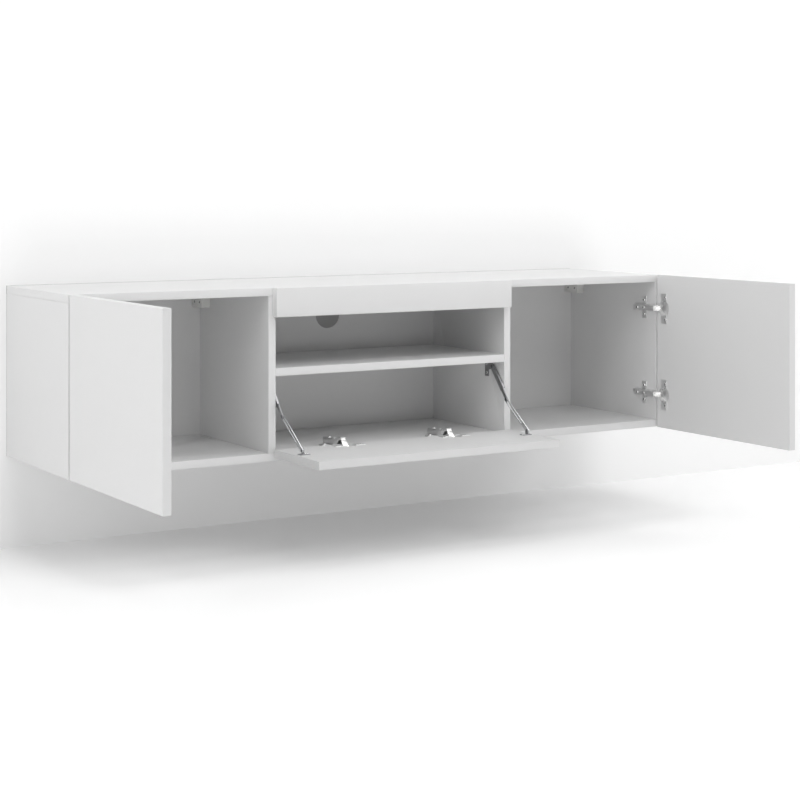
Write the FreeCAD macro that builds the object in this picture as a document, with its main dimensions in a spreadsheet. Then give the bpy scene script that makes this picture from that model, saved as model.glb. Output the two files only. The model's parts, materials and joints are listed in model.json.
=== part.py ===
"""Wall-hung media console with two side-hung doors and a drop-down flap.

World axes: X runs along the wall, Y points at the wall (the wall plane is Y = 0)
and Z is up. The origin is the middle of the underside's rear edge.
The doors and the flap stand open by a quarter turn, which is their rest pose.

Pieces on a front or a hinge are drawn in the front's own axes:
    u  from the hinged edge to the free edge of the closed front
    n  forward, out of the closed front's face
    w  along the hinge axis
"""
import FreeCAD, Part
import math
import os
import re
import Sketcher

SIZES = {
    # carcass
    "width": 1400, "height": 340, "depth": 340, "board": 16,
    "centre_bay": 544, "shelf_top": 182, "fascia_bottom": 283,
    # backs, held in grooves
    "back_sheet": 3, "groove": 8, "groove_play": 0.1, "groove_end_play": 0.5,
    "side_back_inset": 23, "centre_back_inset": 58,
    "cable_hole_radius": 30, "cable_hole_height": 260,
    # dowels
    "dowel_radius": 4, "dowel_length": 30, "dowel_in_face": 11, "peg_flats": 6,
    "dowel_play": 0.05, "dowel_end_play": 0.5,
    "dowel_front_setback": 60, "dowel_rear_setback": 110,
    # fronts
    "door_gap": 2, "reveal": 1, "front_radius": 1, "flap_heel_radius": 3,
    "door_axis_in": 6.5, "door_axis_out": 11.5,
    "flap_axis_in": 9.75, "flap_axis_out": 16.25,
    # concealed hinges
    "hinge_inset": 74, "flap_hinge_spacing": 252,
    "cup_radius": 17.5, "cup_depth": 11.5, "cup_wall": 1.1, "cup_play": 0.1,
    "cup_setback": 22.5,
    "flange_length": 67, "flange_width": 18, "flange_thick": 1.2,
    "flange_shift": 1, "flange_neck": 26, "flange_nose": 11.5,
    "arm_width": 12.4, "arm_wall": 1, "arm_lift": 3, "arm_rise": 12.3,
    "arm_rear": 64, "arm_chamfer": 4, "arm_shoulder": 16, "arm_brow": 6, "arm_crown": 3,
    "arm_nose": 2.2, "arm_under": 2.6, "arm_chin": 5, "arm_throat": 8,
    "door_arm_pin_in": 28.26, "door_arm_pin_out": 9.2,
    "door_cup_pin_in": 11.6, "door_cup_pin_out": 5.2,
    "flap_arm_pin_in": 34.13, "flap_arm_pin_out": 8.8,
    "flap_cup_pin_in": 15.1, "flap_cup_pin_out": 6.2,
    "link_half_thick": 1.3, "link_width": 8, "link_eye": 1.8, "link_bevel": 0.8,
    "pin_radius": 1, "pin_play": 0.06,
    "plate_thick": 2.6, "plate_rear": 60, "plate_front": 14, "plate_width": 14,
    "wing_setback": 37, "wing_width": 15, "wing_span": 50,
    # folding stays
    "stay_pivot_back": 38, "stay_pivot_drop": 12,
    "stay_foot_out": 95, "stay_foot_lift": 7.8,
    "stay_strip": 1.5, "stay_pin_radius": 2, "stay_pin_play": 0.1,
    "upper_arm_length": 85, "upper_arm_width": 12.5, "upper_arm_neck": 59.5, "upper_arm_taper": 2,
    "upper_arm_tip": 9, "upper_arm_flange": 3.2, "upper_arm_rim": 0.9, "upper_arm_angle": 50,
    "lower_arm_width": 9.5, "lower_arm_angle": 36.06,
    "slot_start": 27, "slot_end": 96.4, "slot_half_width": 3,
    "bracket_height": 34, "bracket_width": 14, "bracket_back": 32, "bracket_top_gap": 1,
    "ear_gap": 2, "ear_half": 5, "ear_root": 9, "upper_arm_gap": 5.7, "lower_arm_gap": 7.7,
    "foot_gap": 8.2, "foot_width": 21, "foot_side_gap": 1, "foot_reach": 14,
    # cabinet hangers and wall plates
    "hanger_width": 20, "hanger_depth": 50, "hanger_height": 38, "hanger_wall": 6,
    "hanger_screw_radius": 2.5, "hanger_screw_depth": 11, "hanger_screw_drop": 12, "notch_play": 1,
    "hook_width": 14, "hook_thick": 3, "hook_play": 0.3, "hook_drop": 12,
    "plate_lip": 4, "wall_sheet": 2, "wall_plate_width": 44, "wall_plate_side_gap": 1,
    "wall_plate_height": 54, "wall_plate_lip_height": 16,
    "wall_hole_radius": 2.75, "wall_hole_pitch": 24, "wall_hole_drop": 36,
    "hook_top_drop": 4,
    # how far a cutter starts outside the face that it goes through
    "overcut": 1,
}

X_AXIS = FreeCAD.Vector(1, 0, 0)
Y_AXIS = FreeCAD.Vector(0, 1, 0)
Z_AXIS = FreeCAD.Vector(0, 0, 1)
FORWARD = Y_AXIS * -1

doc = FreeCAD.newDocument("media_console")
sheet = doc.addObject("Spreadsheet::Sheet", "sizes")
NODES = {}


def fill_sheet():
    """Write every size to the sheet as a plain number with its alias."""
    for row, (alias, size) in enumerate(SIZES.items(), start=1):
        sheet.set(f"A{row}", alias)
        sheet.set(f"B{row}", str(size))
        sheet.setAlias(f"B{row}", alias)
    doc.recompute()


def formula(text):
    """Turn a formula of aliases into a FreeCAD expression."""
    return re.sub(r"[a-z_]+", lambda m: f"sizes.{m[0]}" if m[0] in SIZES else m[0], str(text))


def value(text):
    """Number that a formula of aliases gives."""
    return float(sheet.evalExpression(formula(text)))


def bind(item, **properties):
    """Bind properties of an object to formulas of the sheet's aliases."""
    for name, text in properties.items():
        item.setExpression(name, formula(text))


def place(item, x, y, z, rotation=None):
    """Put an object at a point given by three formulas, turned by a rotation."""
    if rotation is not None:
        item.Placement = FreeCAD.Placement(FreeCAD.Vector(), rotation)
    for axis, text in zip("xyz", (x, y, z)):
        item.setExpression(f"Placement.Base.{axis}", formula(text))


def turn(image_of_x, image_of_y):
    """Rotation that takes local X and Y to two given directions."""
    x, y = image_of_x, image_of_y
    z = x.cross(y)
    return FreeCAD.Rotation(FreeCAD.Matrix(x.x, y.x, z.x, 0, x.y, y.y, z.y, 0, x.z, y.z, z.z, 0, 0, 0, 0, 1))


def node(name, item):
    """Register an object as a finished piece under its node name."""
    item.Label = name
    NODES[name] = item
    return item


def box(name, size, corner):
    """Box from three lengths and its lowest corner, all formulas."""
    item = doc.addObject("Part::Box", name)
    bind(item, Length=size[0], Width=size[1], Height=size[2])
    place(item, *corner)
    return item


def cylinder(name, radius, height, start, direction):
    """Cylinder that starts at a point and runs along a direction."""
    item = doc.addObject("Part::Cylinder", name)
    bind(item, Radius=radius, Height=height)
    place(item, *start, FreeCAD.Rotation(Z_AXIS, direction))
    return item


def peg(name, radius, height, start, direction):
    """Short round stud or bore, drawn with a few flats."""
    item = doc.addObject("Part::Prism", name)
    bind(item, Circumradius=radius, Height=height, Polygon="peg_flats")
    place(item, *start, FreeCAD.Rotation(Z_AXIS, direction))
    return item


def join(name, items):
    """Fuse pieces of one solid."""
    item = doc.addObject("Part::MultiFuse", name)
    item.Shapes = items
    return item


def group(name, items):
    """Gather identical solids in one node."""
    item = doc.addObject("Part::Compound", name)
    item.Links = items
    return node(name, item)


def cut(name, base, tools):
    """Cut one or more tools from a piece."""
    item = doc.addObject("Part::Cut", name)
    item.Base = base
    item.Tool = tools[0] if len(tools) == 1 else join(f"{name}_tools", tools)
    return item


# ---------------------------------------------------------------- sketches

def sketch_in(body, role, name, offset="0"):
    """Empty sketch on one of the body's origin planes, moved along its normal."""
    sketch = body.newObject("Sketcher::SketchObject", name)
    plane = next(f for f in body.Origin.OriginFeatures if f.Role == role)
    sketch.AttachmentSupport = [(plane, "")]
    sketch.MapMode = "FlatFace"
    sketch.setExpression("AttachmentOffset.Base.z", formula(offset))
    return sketch


def pin_point(sketch, geometry, point, corner):
    """Fix a sketch point at two formulas measured from the sketch's origin."""
    for kind, text, axis in (("DistanceX", corner[0], -2), ("DistanceY", corner[1], -1)):
        if str(text) == "0":
            sketch.addConstraint(Sketcher.Constraint("PointOnObject", geometry, point, axis))
            continue
        rule = Sketcher.Constraint(kind, -1, 1, geometry, point, value(text))
        index = sketch.addConstraint(rule)
        sketch.setExpression(f"Constraints[{index}]", formula(text))


def outline(sketch, corners):
    """Closed outline of straight lines through corners given as formulas."""
    points = [FreeCAD.Vector(value(x), value(y), 0) for x, y in corners]
    count = len(points)
    for index in range(count):
        sketch.addGeometry(Part.LineSegment(points[index], points[(index + 1) % count]), False)
    for index in range(count):
        sketch.addConstraint(Sketcher.Constraint("Coincident", index, 2, (index + 1) % count, 1))
    for index, corner in enumerate(corners):
        pin_point(sketch, index, 1, corner)


def rectangle(sketch, low, high):
    """Rectangle between two opposite corners."""
    outline(sketch, [low, (high[0], low[1]), high, (low[0], high[1])])


def circle(sketch, centre, radius):
    """Circle with its centre and radius given as formulas."""
    where = FreeCAD.Vector(value(centre[0]), value(centre[1]), 0)
    index = sketch.addGeometry(Part.Circle(where, Z_AXIS, value(radius)), False)
    pin_point(sketch, index, 3, centre)
    rule = sketch.addConstraint(Sketcher.Constraint("Radius", index, value(radius)))
    sketch.setExpression(f"Constraints[{rule}]", formula(radius))


def stadium(sketch, start, end, radius):
    """Slot outline along local X: two straight lines and two half circles."""
    x0, x1, r = value(start), value(end), value(radius)
    left, right = FreeCAD.Vector(x0, 0, 0), FreeCAD.Vector(x1, 0, 0)
    quarter = math.pi / 2
    cap_a = sketch.addGeometry(Part.ArcOfCircle(Part.Circle(left, Z_AXIS, r), quarter, 3 * quarter), False)
    cap_b = sketch.addGeometry(Part.ArcOfCircle(Part.Circle(right, Z_AXIS, r), -quarter, quarter), False)
    low = sketch.addGeometry(Part.LineSegment(FreeCAD.Vector(x0, -r, 0), FreeCAD.Vector(x1, -r, 0)), False)
    top = sketch.addGeometry(Part.LineSegment(FreeCAD.Vector(x1, r, 0), FreeCAD.Vector(x0, r, 0)), False)
    for first, first_end, second, second_end in (
            (cap_a, 2, low, 1), (low, 2, cap_b, 1), (cap_b, 2, top, 1), (top, 2, cap_a, 1)):
        sketch.addConstraint(Sketcher.Constraint("Tangent", first, first_end, second, second_end))
    pin_point(sketch, cap_a, 3, (start, "0"))
    pin_point(sketch, cap_b, 3, (end, "0"))
    rule = sketch.addConstraint(Sketcher.Constraint("Radius", cap_a, r))
    sketch.setExpression(f"Constraints[{rule}]", formula(radius))


def pad(body, sketch, length, both_ways=False, backwards=False):
    """Pad a sketch by a formula."""
    feature = body.newObject("PartDesign::Pad", f"{sketch.Name}_pad")
    feature.Profile = sketch
    feature.SideType = "Symmetric" if both_ways else "One side"
    feature.Reversed = backwards
    bind(feature, Length=length)
    sketch.Visibility = False
    doc.recompute()
    return feature


def pocket(body, sketch, length, both_ways=False, backwards=False):
    """Pocket a sketch by a formula, and check that it takes material away."""
    before = body.Shape.Volume
    feature = body.newObject("PartDesign::Pocket", f"{sketch.Name}_pocket")
    feature.Profile = sketch
    feature.SideType = "Symmetric" if both_ways else "One side"
    feature.Reversed = backwards
    bind(feature, Length=length)
    doc.recompute()
    if not body.Shape.Volume < before:
        raise ValueError(f"{feature.Name} cuts nothing")
    return feature


def round_edges(body, name, radius, wanted):
    """Fillet the edges of the body's tip that a test on their midpoint picks."""
    tip = body.Tip
    edges = []
    for index, edge in enumerate(tip.Shape.Edges, start=1):
        box_of_edge = edge.BoundBox
        if wanted(edge, box_of_edge):
            edges.append(f"Edge{index}")
    feature = body.newObject("PartDesign::Fillet", name)
    feature.Base = (tip, edges)
    bind(feature, Radius=radius)
    doc.recompute()
    return feature


# ---------------------------------------------------------------- carcass

BAY_HALF = "centre_bay / 2"
INNER_SIDE = "(width / 2 - board)"
SHELF_DEPTH = "(depth - centre_back_inset - back_sheet)"
FASCIA_LENGTH = "(centre_bay + board - 2 * reveal)"
UPRIGHTS = {
    "left_side": "-width / 2 + board / 2",
    "left_divider": "-centre_bay / 2 - board / 2",
    "right_divider": "centre_bay / 2 + board / 2",
    "right_side": "width / 2 - board / 2",
}
BORES = {}


def bore_for(owner, cutter):
    """Remember a cutter for the board it goes through."""
    BORES.setdefault(owner, []).append(cutter)


def back_panel(name, left, right, inset, owners, hooks=()):
    """Thin back sheet in grooves: the sheet, and the cutter that makes its grooves."""
    width = f"({right}) - ({left}) + 2 * groove"
    rise = "height - 2 * board + 2 * groove"
    play = "groove_end_play"
    sheet_box = box(f"{name}_sheet", (f"{width} - 2 * {play}", "back_sheet", f"{rise} - 2 * {play}"),
                    (f"{left} - groove + {play}", f"-{inset} - back_sheet", f"board - groove + {play}"))
    groove = box(f"{name}_groove", (width, "back_sheet + 2 * groove_play", rise),
                 (f"{left} - groove", f"-{inset} - back_sheet - groove_play", "board - groove"))
    for owner in owners:
        bore_for(owner, groove)
    return sheet_box


def dowel(name, face_board, end_board, start, direction):
    """Dowel from a board's face into another board's end, with a bore in each."""
    pin = peg(name, "dowel_radius", "dowel_length", start, direction)
    shift = [f"{s} - ({d}) * dowel_end_play" for s, d in zip(start, direction)]
    hole = peg(f"{name}_bore", "dowel_radius + dowel_play", "dowel_length + 2 * dowel_end_play",
               shift, direction)
    bore_for(face_board, hole)
    bore_for(end_board, hole)
    return pin


def make_dowels():
    """Two dowels at every joint of the carcass and the shelf."""
    pegs = []
    rows = {"front": "-depth + dowel_front_setback", "rear": "-dowel_rear_setback"}
    for row, y in rows.items():
        for upright, x in UPRIGHTS.items():
            top = (x, y, "height - board + dowel_in_face")
            pegs.append(dowel(f"peg_top_{upright}_{row}", "top_panel", upright, top, Z_AXIS * -1))
        for divider in ("left_divider", "right_divider"):
            low = (UPRIGHTS[divider], y, "board - dowel_in_face")
            pegs.append(dowel(f"peg_low_{divider}_{row}", "bottom_panel", divider, low, Z_AXIS))
        for sign, hand in ((-1, "left"), (1, "right")):
            inward = X_AXIS * -sign
            side = (f"{sign} * ({INNER_SIDE} + dowel_in_face)", y, "board / 2")
            pegs.append(dowel(f"peg_low_{hand}_side_{row}", f"{hand}_side", "bottom_panel", side, inward))
            shelf = (f"{sign} * ({BAY_HALF} + dowel_in_face)", y, "shelf_top - board / 2")
            pegs.append(dowel(f"peg_shelf_{hand}_{row}", f"{hand}_divider", "niche_shelf", shelf, inward))
    group("dowels", pegs)


def make_backs():
    """Two side backs close to the wall and a centre back that leaves room for cables."""
    left = back_panel("left_back", f"-{INNER_SIDE}", f"-({BAY_HALF} + board)", "side_back_inset",
                      ("left_side", "left_divider", "top_panel", "bottom_panel"))
    right = back_panel("right_back", f"{BAY_HALF} + board", INNER_SIDE, "side_back_inset",
                       ("right_side", "right_divider", "top_panel", "bottom_panel"))
    centre = back_panel("centre_back", f"-{BAY_HALF}", BAY_HALF, "centre_back_inset",
                        ("left_divider", "right_divider", "top_panel", "bottom_panel"))
    hole = cylinder("cable_hole", "cable_hole_radius", "3 * back_sheet",
                    ("0", "-centre_back_inset - 2 * back_sheet", "cable_hole_height"), Y_AXIS)
    node("left_back", cut("left_back", left, hook_notches("left")))
    node("right_back", cut("right_back", right, hook_notches("right")))
    node("centre_back", cut("centre_back", centre, [hole]))


def make_carcass():
    """Top over the sides, bottom between them, two dividers, a shelf and a fascia."""
    blanks = {
        "top_panel": box("top_blank", ("width", "depth", "board"),
                         ("-width / 2", "-depth", "height - board")),
        "bottom_panel": box("bottom_blank", (f"2 * {INNER_SIDE}", "depth", "board"),
                            (f"-{INNER_SIDE}", "-depth", "0")),
        "left_side": box("left_side_blank", ("board", "depth", "height - board"),
                         ("-width / 2", "-depth", "0")),
        "right_side": box("right_side_blank", ("board", "depth", "height - board"),
                          (INNER_SIDE, "-depth", "0")),
        "left_divider": box("left_divider_blank", ("board", "depth", "height - 2 * board"),
                            (f"-{BAY_HALF} - board", "-depth", "board")),
        "right_divider": box("right_divider_blank", ("board", "depth", "height - 2 * board"),
                             (BAY_HALF, "-depth", "board")),
        "niche_shelf": box("shelf_blank", ("centre_bay", SHELF_DEPTH, "board"),
                           (f"-{BAY_HALF}", "-depth", "shelf_top - board")),
    }
    for name, blank in blanks.items():
        node(name, cut(name, blank, BORES[name]))
    node("fascia", box("fascia", (FASCIA_LENGTH, "door_gap + board", "height - fascia_bottom"),
                       (f"-{FASCIA_LENGTH} / 2", "-depth - door_gap - board", "fascia_bottom")))


# ---------------------------------------------------------------- hangers

HANGER_CENTRES = {
    "left_side": f"-{INNER_SIDE} + hanger_width / 2",
    "left_divider": f"-{BAY_HALF} - board - hanger_width / 2",
    "right_divider": f"{BAY_HALF} + board + hanger_width / 2",
    "right_side": f"{INNER_SIDE} - hanger_width / 2",
}
HOOK_TOP = "(height - board - hook_top_drop)"
LIP_TOP = f"({HOOK_TOP} - hook_thick - hook_play)"
LIP_BACK = "(wall_sheet + plate_lip)"


def hook_notches(hand):
    """Corner notches in a side back for the hooks of its two hangers."""
    notches = []
    for place_name in (f"{hand}_side", f"{hand}_divider"):
        centre = HANGER_CENTRES[place_name]
        low = f"{HOOK_TOP} - hook_thick - 2 * notch_play"
        size = ("hook_width + 2 * notch_play", "4 * back_sheet", f"height - ({low})")
        left = f"{centre} - hook_width / 2 - notch_play"
        notches.append(box(f"{place_name}_notch", size, (left, "-side_back_inset - 2 * back_sheet", low)))
    return notches


def hanger_case(place_name):
    """Moulded case in the top corner, with a channel for its hook and a drive hole in front."""
    centre = HANGER_CENTRES[place_name]
    front = "-side_back_inset - back_sheet - groove_play - hanger_depth"
    name = f"{place_name}_hanger"
    case = box(f"{name}_case", ("hanger_width", "hanger_depth", "hanger_height"),
               (f"{centre} - hanger_width / 2", front, "height - board - hanger_height"))
    channel_size = ("hook_width + 2 * hook_play", "hanger_depth", "hook_thick + 2 * hook_play")
    channel = box(f"{name}_channel", channel_size,
                  (f"{centre} - hook_width / 2 - hook_play", f"{front} + hanger_wall",
                   f"{HOOK_TOP} - hook_thick - hook_play"))
    drive = peg(f"{name}_drive", "hanger_screw_radius", "hanger_screw_depth + overcut",
                (centre, f"{front} - overcut", f"{HOOK_TOP} - hanger_screw_drop"), Y_AXIS)
    node(name, cut(name, case, [channel, drive]))


def hanger_hook(place_name):
    """Steel strip that runs from the case over the wall plate's lip and down behind it."""
    centre = HANGER_CENTRES[place_name]
    left = f"{centre} - hook_width / 2"
    reach = "side_back_inset + back_sheet + groove_play + hanger_depth - hanger_wall - hook_play"
    strip = box(f"{place_name}_hook_strip", ("hook_width", f"{reach} - hook_play", "hook_thick"),
                (left, f"-({reach})", f"{HOOK_TOP} - hook_thick"))
    tab = box(f"{place_name}_hook_tab", ("hook_width", "plate_lip - 2 * hook_play", "hook_drop + hook_thick"),
              (left, "-plate_lip + hook_play", f"{HOOK_TOP} - hook_thick - hook_drop"))
    return join(f"{place_name}_hook", [strip, tab])


def wall_plate(place_name):
    """Wall plate: a flat foot against the wall and a lip that stands clear of it."""
    centre = HANGER_CENTRES[place_name]
    inward = -1 if place_name in ("left_divider", "right_side") else 1
    edge = f"{centre} + ({inward}) * (wall_plate_side_gap - hanger_width / 2)"
    left = edge if inward == 1 else f"{edge} - wall_plate_width"
    foot_top = f"({LIP_TOP} - wall_plate_lip_height)"
    foot_size = ("wall_plate_width", "wall_sheet", "wall_plate_height - wall_plate_lip_height")
    foot = box(f"{place_name}_foot", foot_size, (left, "-wall_sheet", f"{LIP_TOP} - wall_plate_height"))
    step = box(f"{place_name}_step", ("wall_plate_width", LIP_BACK, "wall_sheet"),
               (left, f"-{LIP_BACK}", f"{foot_top} - wall_sheet"))
    lip = box(f"{place_name}_lip", ("wall_plate_width", "wall_sheet", "wall_plate_lip_height + wall_sheet"),
              (left, f"-{LIP_BACK}", f"{foot_top} - wall_sheet"))
    holes = []
    for sign in (-1, 1):
        where = (f"{left} + wall_plate_width / 2 + ({sign}) * wall_hole_pitch / 2",
                 "-2 * wall_sheet", f"{LIP_TOP} - wall_hole_drop")
        holes.append(cylinder(f"{place_name}_hole_{'a' if sign < 0 else 'b'}", "wall_hole_radius",
                              "3 * wall_sheet", where, Y_AXIS))
    return cut(f"{place_name}_wall_plate", join(f"{place_name}_bent", [foot, step, lip]), holes)


def make_hangers():
    """Four hangers, their hooks and their wall plates."""
    for place_name in HANGER_CENTRES:
        hanger_case(place_name)
    group("hanger_hooks", [hanger_hook(place_name) for place_name in HANGER_CENTRES])
    group("wall_plates", [wall_plate(place_name) for place_name in HANGER_CENTRES])


# ---------------------------------------------------------------- fronts

class Front:
    """A hinged front: where its axis lies and how it is turned, closed and at rest."""

    def __init__(self, name, kind, closed_u, origin, length, width, hinges):
        self.name = name
        self.kind = kind
        self.closed_u = closed_u
        self.origin = origin
        self.length = length
        self.width = width
        self.hinges = hinges
        self.inward = f"{kind}_axis_in"
        self.outward = f"{kind}_axis_out"

    def direction(self, letter, at_rest):
        """World direction of u, n or w, for the closed or the resting front."""
        u, n = self.closed_u, FORWARD
        if at_rest:
            u, n = n, u * -1
        return {"u": u, "n": n, "w": u.cross(n)}[letter]

    def point(self, u, n, w, at_rest=False):
        """World formulas of a point; u and n run from the carcass corner, or from the axis at rest."""
        parts = []
        for axis in range(3):
            terms = [self.origin[axis]]
            if at_rest:
                terms.append(f"({self.closed_u[axis]}) * {self.inward} + ({FORWARD[axis]}) * {self.outward}")
            for text, letter in ((u, "u"), (n, "n"), (w, "w")):
                terms.append(f"({self.direction(letter, at_rest)[axis]}) * ({text})")
            parts.append(" + ".join(terms))
        return parts


def make_fronts():
    """The two doors and the flap, as records of their places."""
    corner_z = "height / 2"
    door_length = "height"
    door_width = "((width - centre_bay - board) / 2 - 2 * reveal)"
    door_hinges = {"upper": "height / 2 - hinge_inset", "lower": "hinge_inset - height / 2"}
    flap_hinges = {"left": "-flap_hinge_spacing / 2", "right": "flap_hinge_spacing / 2"}
    left = Front("left_door", "door", X_AXIS, ("-width / 2", "-depth", corner_z), door_length, door_width,
                 {"upper": door_hinges["lower"], "lower": door_hinges["upper"]})
    right = Front("right_door", "door", X_AXIS * -1, ("width / 2", "-depth", corner_z), door_length,
                  door_width, door_hinges)
    flap = Front("flap", "flap", Z_AXIS, ("0", "-depth", "0"), FASCIA_LENGTH,
                 "(shelf_top - reveal)", flap_hinges)
    return [left, right, flap]


def front_panel(front):
    """Front board with cup bores and softened outer edges, drawn from its hinge axis."""
    body = doc.addObject("PartDesign::Body", front.name)
    inner = f"door_gap - {front.outward}"
    heel = f"reveal - {front.inward}"
    board = sketch_in(body, "XY_Plane", f"{front.name}_outline", inner)
    rectangle(board, (heel, f"-{front.length} / 2"), (f"{heel} + {front.width}", f"{front.length} / 2"))
    pad(body, board, "board")
    bores = sketch_in(body, "XY_Plane", f"{front.name}_bores", inner)
    for w in front.hinges.values():
        circle(bores, (f"{heel} + cup_setback", f"-({w})"), "cup_radius + cup_play")
    pocket(body, bores, "cup_depth + cup_play", backwards=True)
    face = value(f"{inner} + board")
    round_edges(body, f"{front.name}_soft_edges", "front_radius",
                lambda edge, room: room.ZMin > face - 0.01)
    if front.kind == "flap":
        x_heel, z_inner = value(heel), value(inner)
        round_edges(body, "flap_heel", "flap_heel_radius",
                    lambda edge, room: room.XMax < x_heel + 0.01 and room.ZMax < z_inner + 0.01)
    place(body, *front.point("0", "0", "0", at_rest=True),
          turn(front.direction("u", True), front.direction("w", True) * -1))
    node(front.name, body)


def cup(front, which, w):
    """Hinge cup: a drawn steel bowl in the front's bore, with a screw flange on its inner face."""
    name = f"{front.name}_{which}_cup"
    body = doc.addObject("PartDesign::Body", name)
    inner = f"door_gap - {front.outward}"
    centre = f"reveal - {front.inward} + cup_setback"
    bowl = sketch_in(body, "XY_Plane", f"{name}_bowl", inner)
    circle(bowl, (centre, "0"), "cup_radius")
    pad(body, bowl, "cup_depth")
    flange = sketch_in(body, "XY_Plane", f"{name}_flange", inner)
    near = f"{centre} + flange_shift - flange_width / 2"
    far = f"{centre} + flange_shift + flange_width / 2"
    nose = f"{centre} - cup_radius + flange_nose / 2"
    outline(flange, [
        (near, "-flange_length / 2"), (far, "-flange_length / 2"), (far, "flange_length / 2"),
        (near, "flange_length / 2"), (near, "flange_neck / 2"), (nose, "flange_nose"),
        (nose, "-flange_nose"), (near, "-flange_neck / 2")])
    pad(body, flange, "flange_thick", backwards=True)
    hollow = sketch_in(body, "XY_Plane", f"{name}_hollow", f"{inner} - flange_thick")
    circle(hollow, (centre, "0"), "cup_radius - cup_wall")
    pocket(body, hollow, "flange_thick + cup_depth - cup_wall", backwards=True)
    place(body, *front.point("0", "0", w, at_rest=True),
          turn(front.direction("u", True), front.direction("w", True) * -1))
    return body


def arm(front, which, w):
    """Pressed hinge arm: a channel open to the board, with its link pin across the nose."""
    name = f"{front.name}_{which}_arm"
    body = doc.addObject("PartDesign::Body", name)
    low = "(board + arm_lift)"
    rear_top = f"({low} + arm_rise)"
    pin_u, pin_n = f"{front.kind}_arm_pin_in", f"{front.kind}_arm_pin_out"
    crown = f"({pin_u} + arm_crown)"
    nose = f"{pin_n} + arm_nose"
    side = sketch_in(body, "XY_Plane", f"{name}_side")
    outline(side, [
        (low, "-arm_rear"), (f"{rear_top} - arm_chamfer", "-arm_rear"), (rear_top, "-arm_rear + arm_chamfer"),
        (rear_top, "-arm_shoulder"), (crown, "-arm_brow"), (crown, nose), (f"{pin_u} - arm_under", nose),
        (f"{pin_u} - arm_under", f"{pin_n} - arm_chin"), (low, "-arm_throat")])
    pad(body, side, "arm_width", both_ways=True)
    hollow = sketch_in(body, "XY_Plane", f"{name}_hollow")
    outline(hollow, [
        (f"{low} - overcut", "-arm_rear + arm_wall"),
        (f"{rear_top} - arm_chamfer - arm_wall", "-arm_rear + arm_wall"),
        (f"{rear_top} - arm_wall", "-arm_rear + arm_chamfer + arm_wall"),
        (f"{rear_top} - arm_wall", "-arm_shoulder + arm_wall"),
        (f"{crown} - arm_wall", "-arm_brow + arm_wall"),
        (f"{crown} - arm_wall", f"{nose} + overcut"), (f"{low} - overcut", f"{nose} + overcut")])
    pocket(body, hollow, "arm_width - 2 * arm_wall", both_ways=True)
    pin = sketch_in(body, "XY_Plane", f"{name}_pin")
    circle(pin, (pin_u, pin_n), "pin_radius")
    pad(body, pin, "arm_width", both_ways=True)
    place(body, *front.point("0", "0", w), turn(front.direction("u", False), front.direction("n", False)))
    node(name, body)


def link_angle(front):
    """Angle of the link from the arm pin to the cup pin with the front at rest, in degrees."""
    kind = front.kind
    axis_u, axis_n = value(f"{kind}_axis_in"), value(f"{kind}_axis_out")
    cup_u, cup_n = value(f"{kind}_cup_pin_in") - axis_u, value(f"{kind}_cup_pin_out") - axis_n
    rest_u, rest_n = axis_u - cup_n, axis_n + cup_u
    arm_u, arm_n = value(f"{kind}_arm_pin_in"), value(f"{kind}_arm_pin_out")
    return math.degrees(math.atan2(rest_n - arm_n, rest_u - arm_u))


def link(front, which, w):
    """Hinge link: an eye round the arm pin and a strip that reaches into the cup."""
    name = f"{front.name}_{which}_link"
    kind = front.kind
    body = doc.addObject("PartDesign::Body", name)
    reach = (f"sqrt(({kind}_arm_pin_in - {kind}_cup_pin_in) ^ 2"
             f" + ({kind}_arm_pin_out - {kind}_cup_pin_out) ^ 2)")
    strip = sketch_in(body, "XY_Plane", f"{name}_strip")
    tip, half, bevel = f"({reach} + link_half_thick)", "link_half_thick", "link_bevel"
    outline(strip, [
        ("0", f"-{half}"), (f"{tip} - {bevel}", f"-{half}"), (tip, f"-{half} + {bevel}"),
        (tip, f"{half} - {bevel}"), (f"{tip} - {bevel}", half), ("0", half)])
    pad(body, strip, "link_width", both_ways=True)
    eye = sketch_in(body, "XY_Plane", f"{name}_eye")
    circle(eye, ("0", "0"), "link_eye")
    pad(body, eye, "link_width", both_ways=True)
    bore = sketch_in(body, "XY_Plane", f"{name}_bore")
    circle(bore, ("0", "0"), "pin_radius + pin_play")
    pocket(body, bore, "link_width + 2 * overcut", both_ways=True)
    u, n = front.direction("u", False), front.direction("n", False)
    swing = FreeCAD.Rotation(u.cross(n), link_angle(front))
    place(body, *front.point(f"{kind}_arm_pin_in", f"{kind}_arm_pin_out", w),
          turn(swing.multVec(u), swing.multVec(n)))
    node(name, body)


def mounting_plate(front, which, w):
    """Cross-shaped mounting plate, flat on the board, with a wing to each side for its screws."""
    name = f"{front.name}_{which}_plate"
    body = doc.addObject("PartDesign::Body", name)
    cross = sketch_in(body, "XY_Plane", f"{name}_cross")
    rear, front_end = "-plate_rear", "-plate_front"
    wing_rear, wing_front = "-wing_setback - wing_width / 2", "-wing_setback + wing_width / 2"
    half, span = "plate_width / 2", "wing_span / 2"
    outline(cross, [
        (rear, f"-{half}"), (wing_rear, f"-{half}"), (wing_rear, f"-{span}"), (wing_front, f"-{span}"),
        (wing_front, f"-{half}"), (front_end, f"-{half}"), (front_end, half), (wing_front, half),
        (wing_front, span), (wing_rear, span), (wing_rear, half), (rear, half)])
    pad(body, cross, "plate_thick")
    place(body, *front.point("board", "0", w), turn(front.direction("n", False), front.direction("w", False)))
    return body


def make_hinges(front):
    """All hinges of one front."""
    cups = []
    plates = []
    for which, w in front.hinges.items():
        cups.append(cup(front, which, w))
        arm(front, which, w)
        link(front, which, w)
        plates.append(mounting_plate(front, which, w))
    group(f"{front.name}_hinge_cups", cups)
    group(f"{front.name}_hinge_plates", plates)


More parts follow.
